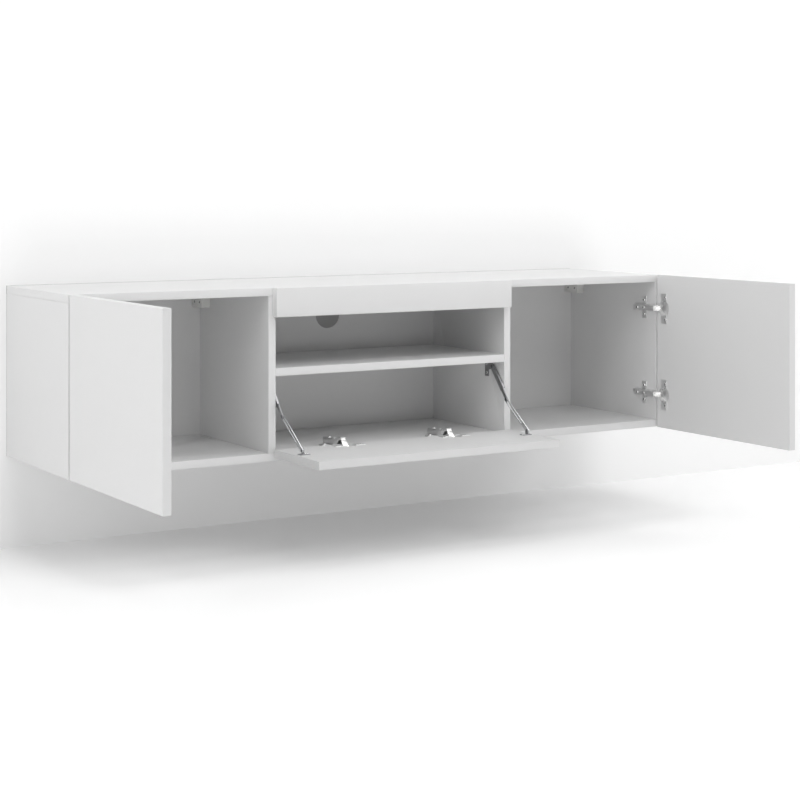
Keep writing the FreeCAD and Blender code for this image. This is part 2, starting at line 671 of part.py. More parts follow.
# ---------------------------------------------------------------- stays

class Stay:
    """One folding stay; across(d) is d away from the divider's inner face."""

    def __init__(self, hand):
        self.hand = hand
        self.sign = 1 if hand == "right" else -1
        self.along = FORWARD * self.sign

    def name(self, piece):
        """Node name of one piece of the stay."""
        return f"{self.hand}_stay_{piece}"

    def across(self, gap):
        """World X at a distance from the divider's inner face."""
        return f"({self.sign}) * ({BAY_HALF} - ({gap}))"

    def rotation(self, degrees=0.0):
        """Turn of a piece whose local X lies at an angle above the forward direction."""
        swing = FreeCAD.Rotation(X_AXIS * -1, degrees)
        x = swing.multVec(FORWARD) * self.sign
        y = swing.multVec(Z_AXIS)
        return turn(x, y)

    def x(self, text):
        """Local X of a distance along the piece."""
        return f"({self.sign}) * ({text})"


PIVOT_Y = "-depth + stay_pivot_back"
PIVOT_Z = "shelf_top - board - stay_pivot_drop"
FOOT_Y = "-depth - stay_foot_out"
FLAP_FACE = "(flap_axis_in + flap_axis_out - door_gap)"
FOOT_Z = f"{FLAP_FACE} + stay_foot_lift"


def stay_bracket(stay):
    """Bracket on the divider: a base plate and a stepped, tapering ear that carries the upper pin."""
    name = stay.name("bracket")
    body = doc.addObject("PartDesign::Body", name)
    rear, front_edge = "-bracket_back", "-bracket_back + bracket_width"
    base = sketch_in(body, "XY_Plane", f"{name}_base")
    top = "stay_pivot_drop - bracket_top_gap"
    rectangle(base, (stay.x(rear), f"{top} - bracket_height"), (stay.x(front_edge), top))
    pad(body, base, "stay_strip")
    step = sketch_in(body, "XY_Plane", f"{name}_step")
    rectangle(step, (stay.x(f"{front_edge} - stay_strip"), "-ear_root"), (stay.x(front_edge), "ear_root"))
    pad(body, step, "ear_gap + stay_strip")
    ear = sketch_in(body, "XY_Plane", f"{name}_ear", "ear_gap")
    root = stay.x(f"{front_edge} - stay_strip")
    outline(ear, [
        (root, "-ear_root"), (stay.x("0"), "-ear_half"), (stay.x("0"), "ear_half"), (root, "ear_root")])
    pad(body, ear, "stay_strip")
    nose = sketch_in(body, "XY_Plane", f"{name}_nose", "ear_gap")
    circle(nose, ("0", "0"), "ear_half")
    pad(body, nose, "stay_strip")
    pin = sketch_in(body, "XY_Plane", f"{name}_pin", "ear_gap")
    circle(pin, ("0", "0"), "stay_pin_radius")
    pad(body, pin, "upper_arm_gap - ear_gap + stay_pin_play")
    place(body, stay.across("0"), PIVOT_Y, PIVOT_Z, stay.rotation())
    node(name, body)


def stay_upper_arm(stay):
    """Upper arm: a tapered channel with a rivet through the lower arm's slot."""
    name = stay.name("upper_arm")
    body = doc.addObject("PartDesign::Body", name)
    wide, tip = "upper_arm_width / 2", "upper_arm_tip / 2"
    neck = "upper_arm_neck"
    taper_end = "upper_arm_neck + upper_arm_taper"
    web = sketch_in(body, "XY_Plane", f"{name}_web", "-stay_strip")
    end = f"upper_arm_length + {tip}"
    outline(web, [
        (stay.x(f"-{wide}"), f"-{wide}"), (stay.x(neck), f"-{wide}"), (stay.x(taper_end), f"-{tip}"),
        (stay.x(end), f"-{tip}"), (stay.x(end), tip), (stay.x(taper_end), tip),
        (stay.x(neck), wide), (stay.x(f"-{wide}"), wide)])
    pad(body, web, "stay_strip")
    for sign in (-1, 1):
        flange = sketch_in(body, "XY_Plane", f"{name}_flange_{'a' if sign < 0 else 'b'}", "-stay_strip")
        inner, outer = f"({sign}) * ({wide} - upper_arm_rim)", f"({sign}) * {wide}"
        rectangle(flange, (stay.x("upper_arm_width"), inner), (stay.x(neck), outer))
        pad(body, flange, "upper_arm_flange", backwards=True)
    rivet = sketch_in(body, "XY_Plane", f"{name}_rivet", "-stay_strip")
    circle(rivet, (stay.x("upper_arm_length"), "0"), "stay_pin_radius")
    pad(body, rivet, "stay_strip + lower_arm_gap - upper_arm_gap + 2 * stay_pin_play")
    bore = sketch_in(body, "XY_Plane", f"{name}_bore")
    circle(bore, ("0", "0"), "stay_pin_radius + stay_pin_play")
    pocket(body, bore, "2 * stay_strip")
    place(body, stay.across("upper_arm_gap"), PIVOT_Y, PIVOT_Z, stay.rotation(-value("upper_arm_angle")))
    node(name, body)


def stay_lower_arm(stay):
    """Lower arm: a flat strip with the long slot that the rivet slides in."""
    name = stay.name("lower_arm")
    body = doc.addObject("PartDesign::Body", name)
    strip = sketch_in(body, "XY_Plane", f"{name}_strip", "-stay_strip")
    start, end = ("0", "slot_end") if stay.sign == 1 else ("-slot_end", "0")
    stadium(strip, start, end, "lower_arm_width / 2")
    pad(body, strip, "stay_strip")
    slot = sketch_in(body, "XY_Plane", f"{name}_slot")
    start, end = ("slot_start", "slot_end") if stay.sign == 1 else ("-slot_end", "-slot_start")
    stadium(slot, start, end, "slot_half_width")
    pocket(body, slot, "2 * stay_strip")
    bore = sketch_in(body, "XY_Plane", f"{name}_bore")
    circle(bore, ("0", "0"), "stay_pin_radius + stay_pin_play")
    pocket(body, bore, "2 * stay_strip")
    place(body, stay.across("lower_arm_gap"), FOOT_Y, FOOT_Z, stay.rotation(180 - value("lower_arm_angle")))
    node(name, body)


def stay_foot(stay):
    """Flap bracket: a foot on the flap's inner face and an ear with the lower pin."""
    name = stay.name("foot")
    body = doc.addObject("PartDesign::Body", name)
    half = "foot_reach / 2"
    ear = sketch_in(body, "XY_Plane", f"{name}_ear")
    rectangle(ear, (stay.x("-ear_half"), "-stay_foot_lift"), (stay.x("ear_half"), "0"))
    pad(body, ear, "stay_strip")
    nose = sketch_in(body, "XY_Plane", f"{name}_nose")
    circle(nose, ("0", "0"), "ear_half")
    pad(body, nose, "stay_strip")
    foot = sketch_in(body, "XY_Plane", f"{name}_plate", "foot_side_gap - foot_gap")
    rectangle(foot, (stay.x(f"-{half}"), "-stay_foot_lift"), (stay.x(half), "-stay_foot_lift + stay_strip"))
    pad(body, foot, "foot_width")
    pin = sketch_in(body, "XY_Plane", f"{name}_pin")
    circle(pin, ("0", "0"), "stay_pin_radius")
    pad(body, pin, "foot_gap - lower_arm_gap + stay_strip + stay_pin_play", backwards=True)
    place(body, stay.across("foot_gap"), FOOT_Y, FOOT_Z, stay.rotation())
    node(name, body)


def make_stays():
    """Both folding stays."""
    for hand in ("left", "right"):
        stay = Stay(hand)
        stay_bracket(stay)
        stay_upper_arm(stay)
        stay_lower_arm(stay)
        stay_foot(stay)


def check_and_write():
    """Stop on any failed object or shape, then write one STEP file for each node."""
    doc.recompute()
    for item in doc.Objects:
        if "Invalid" in item.State or "Error" in item.State:
            raise ValueError(f"{item.Name} failed: {item.State}")
    for name, item in NODES.items():
        if item.Shape.isNull() or not item.Shape.isValid():
            raise ValueError(f"{name} has no valid shape")
    os.makedirs("parts", exist_ok=True)
    for name, item in NODES.items():
        item.Shape.exportStep(f"parts/{name}.step")
        print(f"{name}: {len(item.Shape.Solids)} solid(s), {item.Shape.Volume:.0f} mm3")


def main():
    """Build the console and write its pieces."""
    fill_sheet()
    for front in make_fronts():
        front_panel(front)
        make_hinges(front)
    make_stays()
    make_hangers()
    make_dowels()
    make_backs()
    make_carcass()
    check_and_write()


main()
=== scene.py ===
"""Looks of a wall-hung media console in white board, shown with its doors and flap open.

Every length is in metres in the console's own frame: X runs along the wall, Y points into the
wall, whose face is Y = 0, and Z is up from the underside of the console.
"""
import json
import logging
import math
from dataclasses import dataclass, field
from enum import Enum
from typing import Iterable, Sequence

import bmesh
import bpy
from mathutils import Matrix, Vector

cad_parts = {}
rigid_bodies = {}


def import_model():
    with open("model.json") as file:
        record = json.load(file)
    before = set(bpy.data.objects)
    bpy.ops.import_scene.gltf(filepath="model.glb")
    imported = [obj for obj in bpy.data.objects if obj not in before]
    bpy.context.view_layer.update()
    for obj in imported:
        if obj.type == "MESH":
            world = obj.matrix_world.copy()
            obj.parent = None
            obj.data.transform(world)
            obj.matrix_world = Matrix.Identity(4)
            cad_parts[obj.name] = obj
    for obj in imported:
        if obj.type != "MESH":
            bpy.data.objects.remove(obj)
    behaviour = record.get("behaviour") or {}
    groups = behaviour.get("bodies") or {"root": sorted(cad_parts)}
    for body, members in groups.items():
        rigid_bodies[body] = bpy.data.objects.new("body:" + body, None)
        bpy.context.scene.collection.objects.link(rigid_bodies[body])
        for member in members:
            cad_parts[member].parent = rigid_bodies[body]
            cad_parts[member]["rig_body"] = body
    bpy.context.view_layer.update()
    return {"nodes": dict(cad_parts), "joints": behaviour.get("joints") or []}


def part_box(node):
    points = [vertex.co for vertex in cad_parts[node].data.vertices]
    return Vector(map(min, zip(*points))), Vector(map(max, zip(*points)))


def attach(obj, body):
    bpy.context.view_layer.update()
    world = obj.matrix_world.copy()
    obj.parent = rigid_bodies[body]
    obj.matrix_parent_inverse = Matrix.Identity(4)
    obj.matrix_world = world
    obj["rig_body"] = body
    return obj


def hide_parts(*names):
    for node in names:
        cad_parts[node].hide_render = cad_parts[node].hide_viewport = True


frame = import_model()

LOG = logging.getLogger("media_console")

Colour = tuple[float, float, float]
Box = tuple[Vector, Vector]
Place = tuple[float, float, float]

SMOOTH_LIMIT = math.radians(35)
FLAT_LIMIT = math.radians(1)
WELD = 1e-6
NEAR = 1e-5
ROUND_EASE = 0.5
QUARTER_TURN = math.pi / 2
# Material index of faces painted near black as painted shade (insides of screw recesses)
PAINTED_SHADE_INDEX = 1
DEPTH_AXIS = 1
ENDS = (-1, 1)

RIGHTWARD = Vector((1, 0, 0))
WALLWARD = Vector((0, 1, 0))
UPWARD = Vector((0, 0, 1))


class Hand(Enum):
    """Side of the console, as the sign of X."""

    LEFT = -1
    RIGHT = 1

    @property
    def word(self) -> str:
        """Lower-case word for names of pieces."""
        return self.name.lower()


def reach(box: Box, direction: Vector) -> float:
    """How far a box reaches along a direction.

    Args:
        box: Lowest and highest corner.
        direction: Unit vector along an axis.

    Returns:
        The largest distance from the origin, along the direction.
    """
    low, high = box
    return sum(max(a * d, b * d) for a, b, d in zip(low, high, direction))


def middle(box: Box) -> Vector:
    """Centre of a box."""
    return (box[0] + box[1]) / 2


def grey(level: float) -> Colour:
    """Colour without a hue."""
    return level, level, level


def joint_place(name: str) -> Vector:
    """Point on the axis of a joint of the frame."""
    return next(Vector(joint["pos_m"]) for joint in frame["joints"] if joint["name"] == name)


# ------------------------------------------------------------------ node helpers


class MixSocket(Enum):
    """Sockets of the mix node in its colour mode, whose names it shares with other modes."""

    FIRST = 6
    SECOND = 7
    RESULT = 2


class Octaves(Enum):
    """Octaves of a noise, from plain to full of detail."""

    FEW = 2.0
    SOME = 3.0
    MANY = 4.0
    MOST = 5.0


class NodeBoard:
    """Thin wrapper round a node tree that adds and links nodes in one call."""

    noise_low = 0.3
    noise_high = 0.7
    bevel_samples = 4

    def __init__(self, tree: bpy.types.NodeTree) -> None:
        """Takes over a node tree and empties it.

        Args:
            tree: Node tree of a material or of the world.
        """
        self.tree = tree
        self.tree.nodes.clear()

    @classmethod
    def of(cls, owner: bpy.types.Material | bpy.types.World) -> "NodeBoard":
        """Board for the nodes of a material or of the world."""
        owner.use_nodes = True
        return cls(owner.node_tree)

    def add(self, kind: str, inputs: dict[str, object] | None = None, **settings: object) -> bpy.types.Node:
        """Adds a node, sets its properties and fills or links its inputs.

        Args:
            kind: Blender's node type name.
            inputs: Socket name or index to a value, or to an output socket to link.
            **settings: Properties of the node itself.

        Returns:
            The new node.
        """
        node = self.tree.nodes.new(kind)
        for key, setting in settings.items():
            setattr(node, key, setting)
        for key, given in (inputs or {}).items():
            if isinstance(given, bpy.types.NodeSocket):
                self.tree.links.new(given, node.inputs[key])
            else:
                node.inputs[key].default_value = given
        return node

    def object_coords(self) -> bpy.types.NodeSocket:
        """Object coordinates, which stay with a piece when it moves."""
        return self.add("ShaderNodeTexCoord").outputs["Object"]

    def noise(self, scale: float, octaves: Octaves,
              stretch: Sequence[float] = (1, 1, 1)) -> bpy.types.NodeSocket:
        """Noise on object coordinates.

        Args:
            scale: Noise scale, per metre.
            octaves: How much detail it has.
            stretch: Factor for each axis.

        Returns:
            The noise value, from 0 to 1.
        """
        mapping = self.add("ShaderNodeMapping", {"Vector": self.object_coords(), "Scale": tuple(stretch)})
        noise = self.add("ShaderNodeTexNoise", {
            "Vector": mapping.outputs[0], "Scale": scale, "Detail": octaves.value})
        return noise.outputs["Fac"]

    def spread(self, source: bpy.types.NodeSocket, low: float, high: float) -> bpy.types.NodeSocket:
        """Maps the middle of a noise to a range.

        Args:
            source: Value from 0 to 1.
            low: Result at the noise's low end.
            high: Result at its high end.

        Returns:
            The mapped value.
        """
        spread = self.add("ShaderNodeMapRange", {
            "Value": source, "From Min": self.noise_low, "From Max": self.noise_high,
            "To Min": low, "To Max": high})
        return spread.outputs[0]

    def tint(self, source: bpy.types.NodeSocket, first: Colour, second: Colour) -> bpy.types.NodeSocket:
        """Mixes two colours by a value.

        Args:
            source: Value from 0 to 1.
            first: Colour at 0.
            second: Colour at 1.

        Returns:
            The mixed colour.
        """
        mix = self.add("ShaderNodeMix", {0: source}, data_type="RGBA")
        mix.inputs[MixSocket.FIRST.value].default_value = (*first, 1)
        mix.inputs[MixSocket.SECOND.value].default_value = (*second, 1)
        return mix.outputs[MixSocket.RESULT.value]

    def bump(self, height: bpy.types.NodeSocket, depth: float,
             edge_radius: float = 0.0) -> bpy.types.NodeSocket:
        """Bump normal, over softened edges where a radius is given.

        Args:
            height: Height from 0 to 1.
            depth: Depth of the bump in metres.
            edge_radius: Radius that sharp edges appear to have.

        Returns:
            The normal for a shader.
        """
        inputs: dict[str, object] = {"Height": height, "Distance": depth, "Strength": 1.0}
        if edge_radius > 0:
            eased = self.add("ShaderNodeBevel", {"Radius": edge_radius}, samples=self.bevel_samples)
            inputs["Normal"] = eased.outputs[0]
        return self.add("ShaderNodeBump", inputs).outputs[0]

    def number(self, operation: str, first: object, second: object,
               clamp: bool = False) -> bpy.types.NodeSocket:
        """Result of a sum, product or test of two values.

        Args:
            operation: Blender's name of the operation.
            first: Value or output socket.
            second: Value or output socket.
            clamp: Whether the result is kept between 0 and 1.

        Returns:
            The result.
        """
        node = self.add("ShaderNodeMath", {0: first, 1: second}, operation=operation, use_clamp=clamp)
        return node.outputs[0]

    def vector(self, operation: str, first: object, second: object = (0, 0, 0)) -> bpy.types.Node:
        """Node that works on one or two vectors.

        Args:
            operation: Blender's name of the operation.
            first: Vector or output socket.
            second: Vector or output socket, where the operation takes two.

        Returns:
            The node, whose first output is a vector.
        """
        return self.add("ShaderNodeVectorMath", {0: first, 1: second}, operation=operation)

    def eased_range(self, source: bpy.types.NodeSocket, start: tuple[float, float],
                    end: tuple[float, float]) -> bpy.types.NodeSocket:
        """Value that runs smoothly from one level to another.

        Args:
            source: Value to follow.
            start: Where the run starts, and its level there.
            end: Where it ends, and its level there.

        Returns:
            The level.
        """
        run = self.add("ShaderNodeMapRange", {
            "Value": source, "From Min": start[0], "From Max": end[0],
            "To Min": start[1], "To Max": end[1]}, interpolation_type="SMOOTHSTEP")
        return run.outputs[0]

    def total(self, *parts: bpy.types.NodeSocket) -> bpy.types.NodeSocket:
        """Sum of several values, at most 1.

        Args:
            *parts: The values to add.

        Returns:
            The sum.
        """
        whole = parts[0]
        for part in parts[1:]:
            whole = self.number("ADD", whole, part, clamp=True)
        return whole

    def rays(self, *kinds: str) -> bpy.types.NodeSocket:
        """Whether a ray is of one of some kinds.

        Args:
            *kinds: Blender's names of the kinds.

        Returns:
            1 for those rays, 0 for others.
        """
        path = self.add("ShaderNodeLightPath")
        return self.total(*(path.outputs[f"Is {kind} Ray"] for kind in kinds))

    def mixed(self, share: bpy.types.NodeSocket, first: bpy.types.Node,
              second: bpy.types.Node) -> bpy.types.Node:
        """Mix of two shaders.

        Args:
            share: Share of the second, from 0 to 1.
            first: Shader node at 0.
            second: Shader node at 1.

        Returns:
            The mixing node.
        """
        return self.add("ShaderNodeMixShader", {0: share, 1: first.outputs[0], 2: second.outputs[0]})

    def principled(self, **inputs: object) -> bpy.types.Node:
        """Principled shader; underscores in the names of its inputs stand for spaces."""
        named = {key.replace("_", " "): given for key, given in inputs.items()}
        return self.add("ShaderNodeBsdfPrincipled", named)

    def close(self, shader: bpy.types.Node, output: str = "ShaderNodeOutputMaterial") -> None:
        """Links a shader to the output.

        Args:
            shader: The last shader node.
            output: Blender's type name of the output node.
        """
        self.add(output, {"Surface": shader.outputs[0]})


# ------------------------------------------------------------------ finishes


@dataclass(frozen=True)
class BoardFinish:
    """White melamine-faced board with a very fine orange-peel texture."""

    name: str
    colour: Colour
    patch: float = 0.012
    patch_scale: float = 3.0
    roughness: float = 0.42
    roughness_dip: float = 0.04
    roughness_rise: float = 0.05
    roughness_scale: float = 60.0
    specular: float = 0.35
    grain: float = 900.0
    grain_depth: float = 0.00003
    edge_radius: float = 0.0007

    def material(self) -> bpy.types.Material:
        """Builds the finish.

        Returns:
            The material.
        """
        material = bpy.data.materials.new(self.name)
        board = NodeBoard.of(material)
        darker = tuple(c * (1 - self.patch) for c in self.colour)
        smoother, rougher = self.roughness - self.roughness_dip, self.roughness + self.roughness_rise
        board.close(board.principled(
            Base_Color=board.tint(board.noise(self.patch_scale, Octaves.SOME), darker, self.colour),
            Roughness=board.spread(board.noise(self.roughness_scale, Octaves.SOME), smoother, rougher),
            Normal=board.bump(board.noise(self.grain, Octaves.FEW), self.grain_depth, self.edge_radius),
            Specular_IOR_Level=self.specular))
        return material


@dataclass(frozen=True)
class SteelFinish:
    """Plated pressed steel with fine draw lines and a slight cloudiness."""

    name: str
    colour: Colour
    cloud_shade: float = 0.86
    cloud_scale: float = 160.0
    roughness: float = 0.22
    roughness_dip: float = 0.06
    roughness_rise: float = 0.08
    roughness_scale: float = 260.0
    line_scale: float = 400.0
    line_depth: float = 0.00001
    edge_radius: float = 0.0003

    def material(self) -> bpy.types.Material:
        """Builds the finish.

        Returns:
            The material.
        """
        material = bpy.data.materials.new(self.name)
        board = NodeBoard.of(material)
        darker = tuple(c * self.cloud_shade for c in self.colour)
        smoother, rougher = self.roughness - self.roughness_dip, self.roughness + self.roughness_rise
        board.close(board.principled(
            Base_Color=board.tint(board.noise(self.cloud_scale, Octaves.MANY), darker, self.colour),
            Roughness=board.spread(board.noise(self.roughness_scale, Octaves.SOME), smoother, rougher),
            Normal=board.bump(board.noise(self.line_scale, Octaves.FEW), self.line_depth, self.edge_radius),
            Metallic=1.0))
        return material


@dataclass(frozen=True)
class PlasticFinish:
    """Moulded plastic with a spark-eroded skin."""

    name: str
    colour: Colour
    cloud_shade: float = 0.97
    cloud_scale: float = 40.0
    roughness: float = 0.38
    roughness_swing: float = 0.05
    roughness_scale: float = 300.0
    skin: float = 1800.0
    skin_depth: float = 0.00002
    edge_radius: float = 0.0004

    def material(self) -> bpy.types.Material:
        """Builds the finish.

        Returns:
            The material.
        """
        material = bpy.data.materials.new(self.name)
        board = NodeBoard.of(material)
        darker = tuple(c * self.cloud_shade for c in self.colour)
        smoother, rougher = self.roughness - self.roughness_swing, self.roughness + self.roughness_swing
        board.close(board.principled(
            Base_Color=board.tint(board.noise(self.cloud_scale, Octaves.SOME), darker, self.colour),
            Roughness=board.spread(board.noise(self.roughness_scale, Octaves.FEW), smoother, rougher),
            Normal=board.bump(board.noise(self.skin, Octaves.FEW), self.skin_depth, self.edge_radius)))
        return material


@dataclass(frozen=True)
class BeechFinish:
    """Plain beech with fine grain along the dowels."""

    name: str
    light: Colour = (0.72, 0.55, 0.37)
    dark: Colour = (0.56, 0.40, 0.25)
    fibre_scale: float = 300.0
    fibre_stretch: tuple[float, float, float] = (1, 1, 0.1)
    fibre_depth: float = 0.00008
    roughness: float = 0.6

    def material(self) -> bpy.types.Material:
        """Builds the finish.

        Returns:
            The material.
        """
        material = bpy.data.materials.new(self.name)
        board = NodeBoard.of(material)
        fibre = board.noise(self.fibre_scale, Octaves.MOST, self.fibre_stretch)
        board.close(board.principled(
            Base_Color=board.tint(fibre, self.dark, self.light),
            Roughness=self.roughness,
            Normal=board.bump(fibre, self.fibre_depth)))
        return material


class Finishes:
    """All finishes of the console, each made once."""

    def __init__(self) -> None:
        """Builds every material."""
        self.board = BoardFinish("white_melamine", grey(0.80)).material()
        self.banding = BoardFinish(
            "edge_band", grey(0.82), roughness=0.34, grain=500.0, grain_depth=0.00001).material()
        self.back = BoardFinish(
            "lacquered_hardboard", grey(0.77), patch=0.03, roughness=0.55, grain=450.0,
            grain_depth=0.00006, edge_radius=0.0003).material()
        self.hinge = SteelFinish("nickel_plate", grey(0.84), roughness=0.36).material()
        self.link = SteelFinish("bright_nickel", (0.74, 0.74, 0.73), roughness=0.30).material()
        self.cup = SteelFinish("drawn_nickel", grey(0.80), roughness=0.48).material()
        self.stay = SteelFinish("zinc_plate", (0.74, 0.75, 0.76), roughness=0.22).material()
        self.stay_dull = SteelFinish("dull_zinc", (0.40, 0.40, 0.41), roughness=0.50).material()
        self.stay_dark = SteelFinish("dark_zinc", (0.20, 0.20, 0.21), roughness=0.35).material()
        self.screw = SteelFinish("screw_zinc", grey(0.90), roughness=0.20).material()
        # Near-black finish for the insides of screw recesses: painted shade.
        self.recess = SteelFinish("recess_shade", grey(0.05), roughness=0.50).material()
        self.hook = SteelFinish("hook_zinc", (0.48, 0.49, 0.50), roughness=0.34).material()
        self.case = PlasticFinish("white_plastic", (0.78, 0.78, 0.76)).material()
        self.dowel = BeechFinish("beech").material()


# ------------------------------------------------------------------ mesh work


def placed(name: str, data: bpy.types.ID) -> bpy.types.Object:
    """Puts a mesh, lamp or camera in the scene as an object of its own.

    Args:
        name: Name of the object.
        data: Its mesh, lamp or camera.

    Returns:
        The new object.
    """
    thing = bpy.data.objects.new(name, data)
    bpy.context.scene.collection.objects.link(thing)
    return thing


def turned(profile: Sequence[tuple[float, float]], steps: int) -> bmesh.types.BMesh:
    """Turns a profile round the Z axis into a closed solid.

    Args:
        profile: Radius and height of each ring, from the bottom to the top.
        steps: Corners of each ring.

    Returns:
        The solid.
    """
    solid = bmesh.new()
    corners = [math.tau * step / steps for step in range(steps)]
    rings = [[solid.verts.new((radius * math.cos(corner), radius * math.sin(corner), height))
              for corner in corners] for radius, height in profile]
    for lower, upper in zip(rings, rings[1:]):
        for i in range(steps):
            j = (i + 1) % steps
            solid.faces.new((lower[i], lower[j], upper[j], upper[i]))
    solid.faces.new(rings[0][::-1])
    solid.faces.new(rings[-1])
    return solid


def gathered(meshes: Iterable[bmesh.types.BMesh]) -> bmesh.types.BMesh:
    """Puts several meshes into one.

    Args:
        meshes: The meshes; they are used up.

    Returns:
        The one mesh.
    """
    whole = bmesh.new()
    for mesh in meshes:
        data = bpy.data.meshes.new("part")
        mesh.to_mesh(data)
        mesh.free()
        whole.from_mesh(data)
        bpy.data.meshes.remove(data)
    return whole


def ease(mesh: bmesh.types.BMesh, edges: Sequence[bmesh.types.BMEdge], radius: float, segments: int) -> None:
    """Rounds edges of a mesh off.

    Args:
        mesh: The mesh to change.
        edges: Its edges to round off.
        radius: How far the rounding reaches from each edge.
        segments: Flats across the rounding.
    """
    bmesh.ops.bevel(mesh, geom=edges, offset=radius, segments=segments, profile=ROUND_EASE,
                    affect="EDGES", clamp_overlap=False)


@dataclass(frozen=True)
class Seat:
    """Place on a surface where a fastener sits: a point, the way out of the surface and a turn."""

    point: Vector
    normal: Vector
    turn: float = 0.0

    def matrix(self) -> Matrix:
        """Takes a fastener from the origin, where its head points up, to this place."""
        aim = self.normal.to_track_quat("Z", "Y").to_matrix().to_4x4()
        return Matrix.Translation(self.point) @ aim @ Matrix.Rotation(self.turn, 4, "Z")


class Bench:
    """Makes finished pieces and fastens them to the console's bodies."""

    def __init__(self, nodes: dict[str, bpy.types.Object], finishes: Finishes) -> None:
        """Keeps the console's nodes and finishes.

        Args:
            nodes: Node name to object.
            finishes: The finishes to choose from.
        """
        self.nodes = nodes
        self.finishes = finishes

    def body_of(self, node: str) -> str:
        """Body that a node rides on."""
        return self.nodes[node]["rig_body"]

    def node_mesh(self, node: str) -> bmesh.types.BMesh:
        """Welded copy of a node's mesh, with flat faces in one piece.

        Args:
            node: Name of the node.

        Returns:
            The copy, in place.
        """
        mesh = bmesh.new()
        mesh.from_mesh(self.nodes[node].data)
        bmesh.ops.remove_doubles(mesh, verts=mesh.verts, dist=WELD)
        bmesh.ops.dissolve_limit(mesh, angle_limit=FLAT_LIMIT, verts=mesh.verts, edges=mesh.edges)
        return mesh

    def piece(self, name: str, mesh: bmesh.types.BMesh, finish: bpy.types.Material, body: str, slot: str,
              replaces: Sequence[str] = ()) -> None:
        """Turns a mesh into a piece and reports it.

        Args:
            name: Name of the piece.
            mesh: Its shape, in place; it is used up.
            finish: Its material.
            body: Body that it rides on.
            slot: Material slot of the record that the finish comes from; not used.
            replaces: Nodes that it stands for.
        """
        data = bpy.data.meshes.new(name)
        mesh.to_mesh(data)
        mesh.free()
        data.shade_smooth()
        data.set_sharp_from_angle(angle=SMOOTH_LIMIT)
        data.materials.append(finish)
        # Faces painted as shade, the insides of screw recesses, take the near-black recess finish.
        if any(face.material_index for face in data.polygons):
            data.materials.append(self.finishes.recess)
        thing = placed(name, data)
        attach(thing, body)
        if replaces:
            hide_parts(*replaces)
        LOG.info("%s on %s, %d faces, %s", name, body, len(data.polygons), finish.name)


# ------------------------------------------------------------------ boards


@dataclass
class BandedBoard:
    """Faced board with a plastic band on its front edge."""

    node: str
    band: float = 0.001
    soft: float = 0.0009
    segments: int = 3
    all_round: bool = False

    def outer_edges(self, mesh: bmesh.types.BMesh) -> list[bmesh.types.BMEdge]:
        """Edges of the board's box that are eased: those of the front face, or all of them.

        Args:
            mesh: The whole board.

        Returns:
            Its edges.
        """
        low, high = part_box(self.node)
        found = []
        for edge in mesh.edges:
            sides = [(axis, end) for axis in range(3) for end in (low, high)
                     if all(abs(corner.co[axis] - end[axis]) < NEAR for corner in edge.verts)]
            if len(sides) == 2 and (self.all_round or (DEPTH_AXIS, low) in sides):
                found.append(edge)
        return found

    def side_of(self, mesh: bmesh.types.BMesh, front: bool) -> bmesh.types.BMesh:
        """Part of the board before or behind the band's glue line, closed there.

        Args:
            mesh: The whole board; it is left as it is.
            front: True for the band, False for the board behind it.

        Returns:
            The part.
        """
        part = mesh.copy()
        glue_line = WALLWARD * (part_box(self.node)[0].y + self.band)
        bmesh.ops.bisect_plane(part, geom=[*part.verts, *part.edges, *part.faces], plane_co=glue_line,
                               plane_no=WALLWARD, clear_outer=front, clear_inner=not front)
        bmesh.ops.holes_fill(part, edges=[edge for edge in part.edges if edge.is_boundary], sides=0)
        bmesh.ops.recalc_face_normals(part, faces=part.faces)
        return part

    def build(self, bench: Bench) -> None:
        """Makes the board and its band.

        Args:
            bench: Where they are made.
        """
        mesh = bench.node_mesh(self.node)
        ease(mesh, self.outer_edges(mesh), self.soft, self.segments)
        finishes, body = bench.finishes, bench.body_of(self.node)
        bench.piece(f"{self.node}_band", self.side_of(mesh, True), finishes.banding, body, "white_board")
        bench.piece(f"{self.node}_board", self.side_of(mesh, False), finishes.board, body, "white_board",
                    (self.node,))
        mesh.free()


@dataclass
class Carcass:
    """All fixed boards of the console."""

    eased_all_round: tuple[str, ...] = ("top_panel", "fascia")
    eased_in_front: tuple[str, ...] = (
        "bottom_panel", "left_side", "right_side", "left_divider", "right_divider", "niche_shelf")

    def build(self, bench: Bench) -> None:
        """Makes every board with its band.

        Args:
            bench: Where they are made.
        """
        for node in self.eased_all_round:
            BandedBoard(node, all_round=True).build(bench)
        for node in self.eased_in_front:
            BandedBoard(node).build(bench)


# ------------------------------------------------------------------ eased parts


@dataclass
class EasedPart:
    """Part whose sharp outer edges are rounded off, as pressing or moulding leaves them."""

    node: str
    radius: float
    slot: str
    segments: int = 2
    sharp_degrees: float = 25.0
    shortest: float = 0.0016

    def edges(self, mesh: bmesh.types.BMesh) -> list[bmesh.types.BMEdge]:
        """Straight outer edges that are long enough to be eased.

        Args:
            mesh: The whole part.

        Returns:
            Its edges.
        """
        sharp = math.radians(self.sharp_degrees)
        return [edge for edge in mesh.edges
                if edge.is_manifold and edge.calc_face_angle_signed() > sharp
                and edge.calc_length() > self.shortest]

    def build(self, bench: Bench, finish: bpy.types.Material) -> None:
        """Makes the eased part in place of its node.

        Args:
            bench: Where it is made.
            finish: Its material.
        """
        mesh = bench.node_mesh(self.node)
        ease(mesh, self.edges(mesh), self.radius, self.segments)
        bench.piece(f"{self.node}_eased", mesh, finish, bench.body_of(self.node), self.slot, (self.node,))


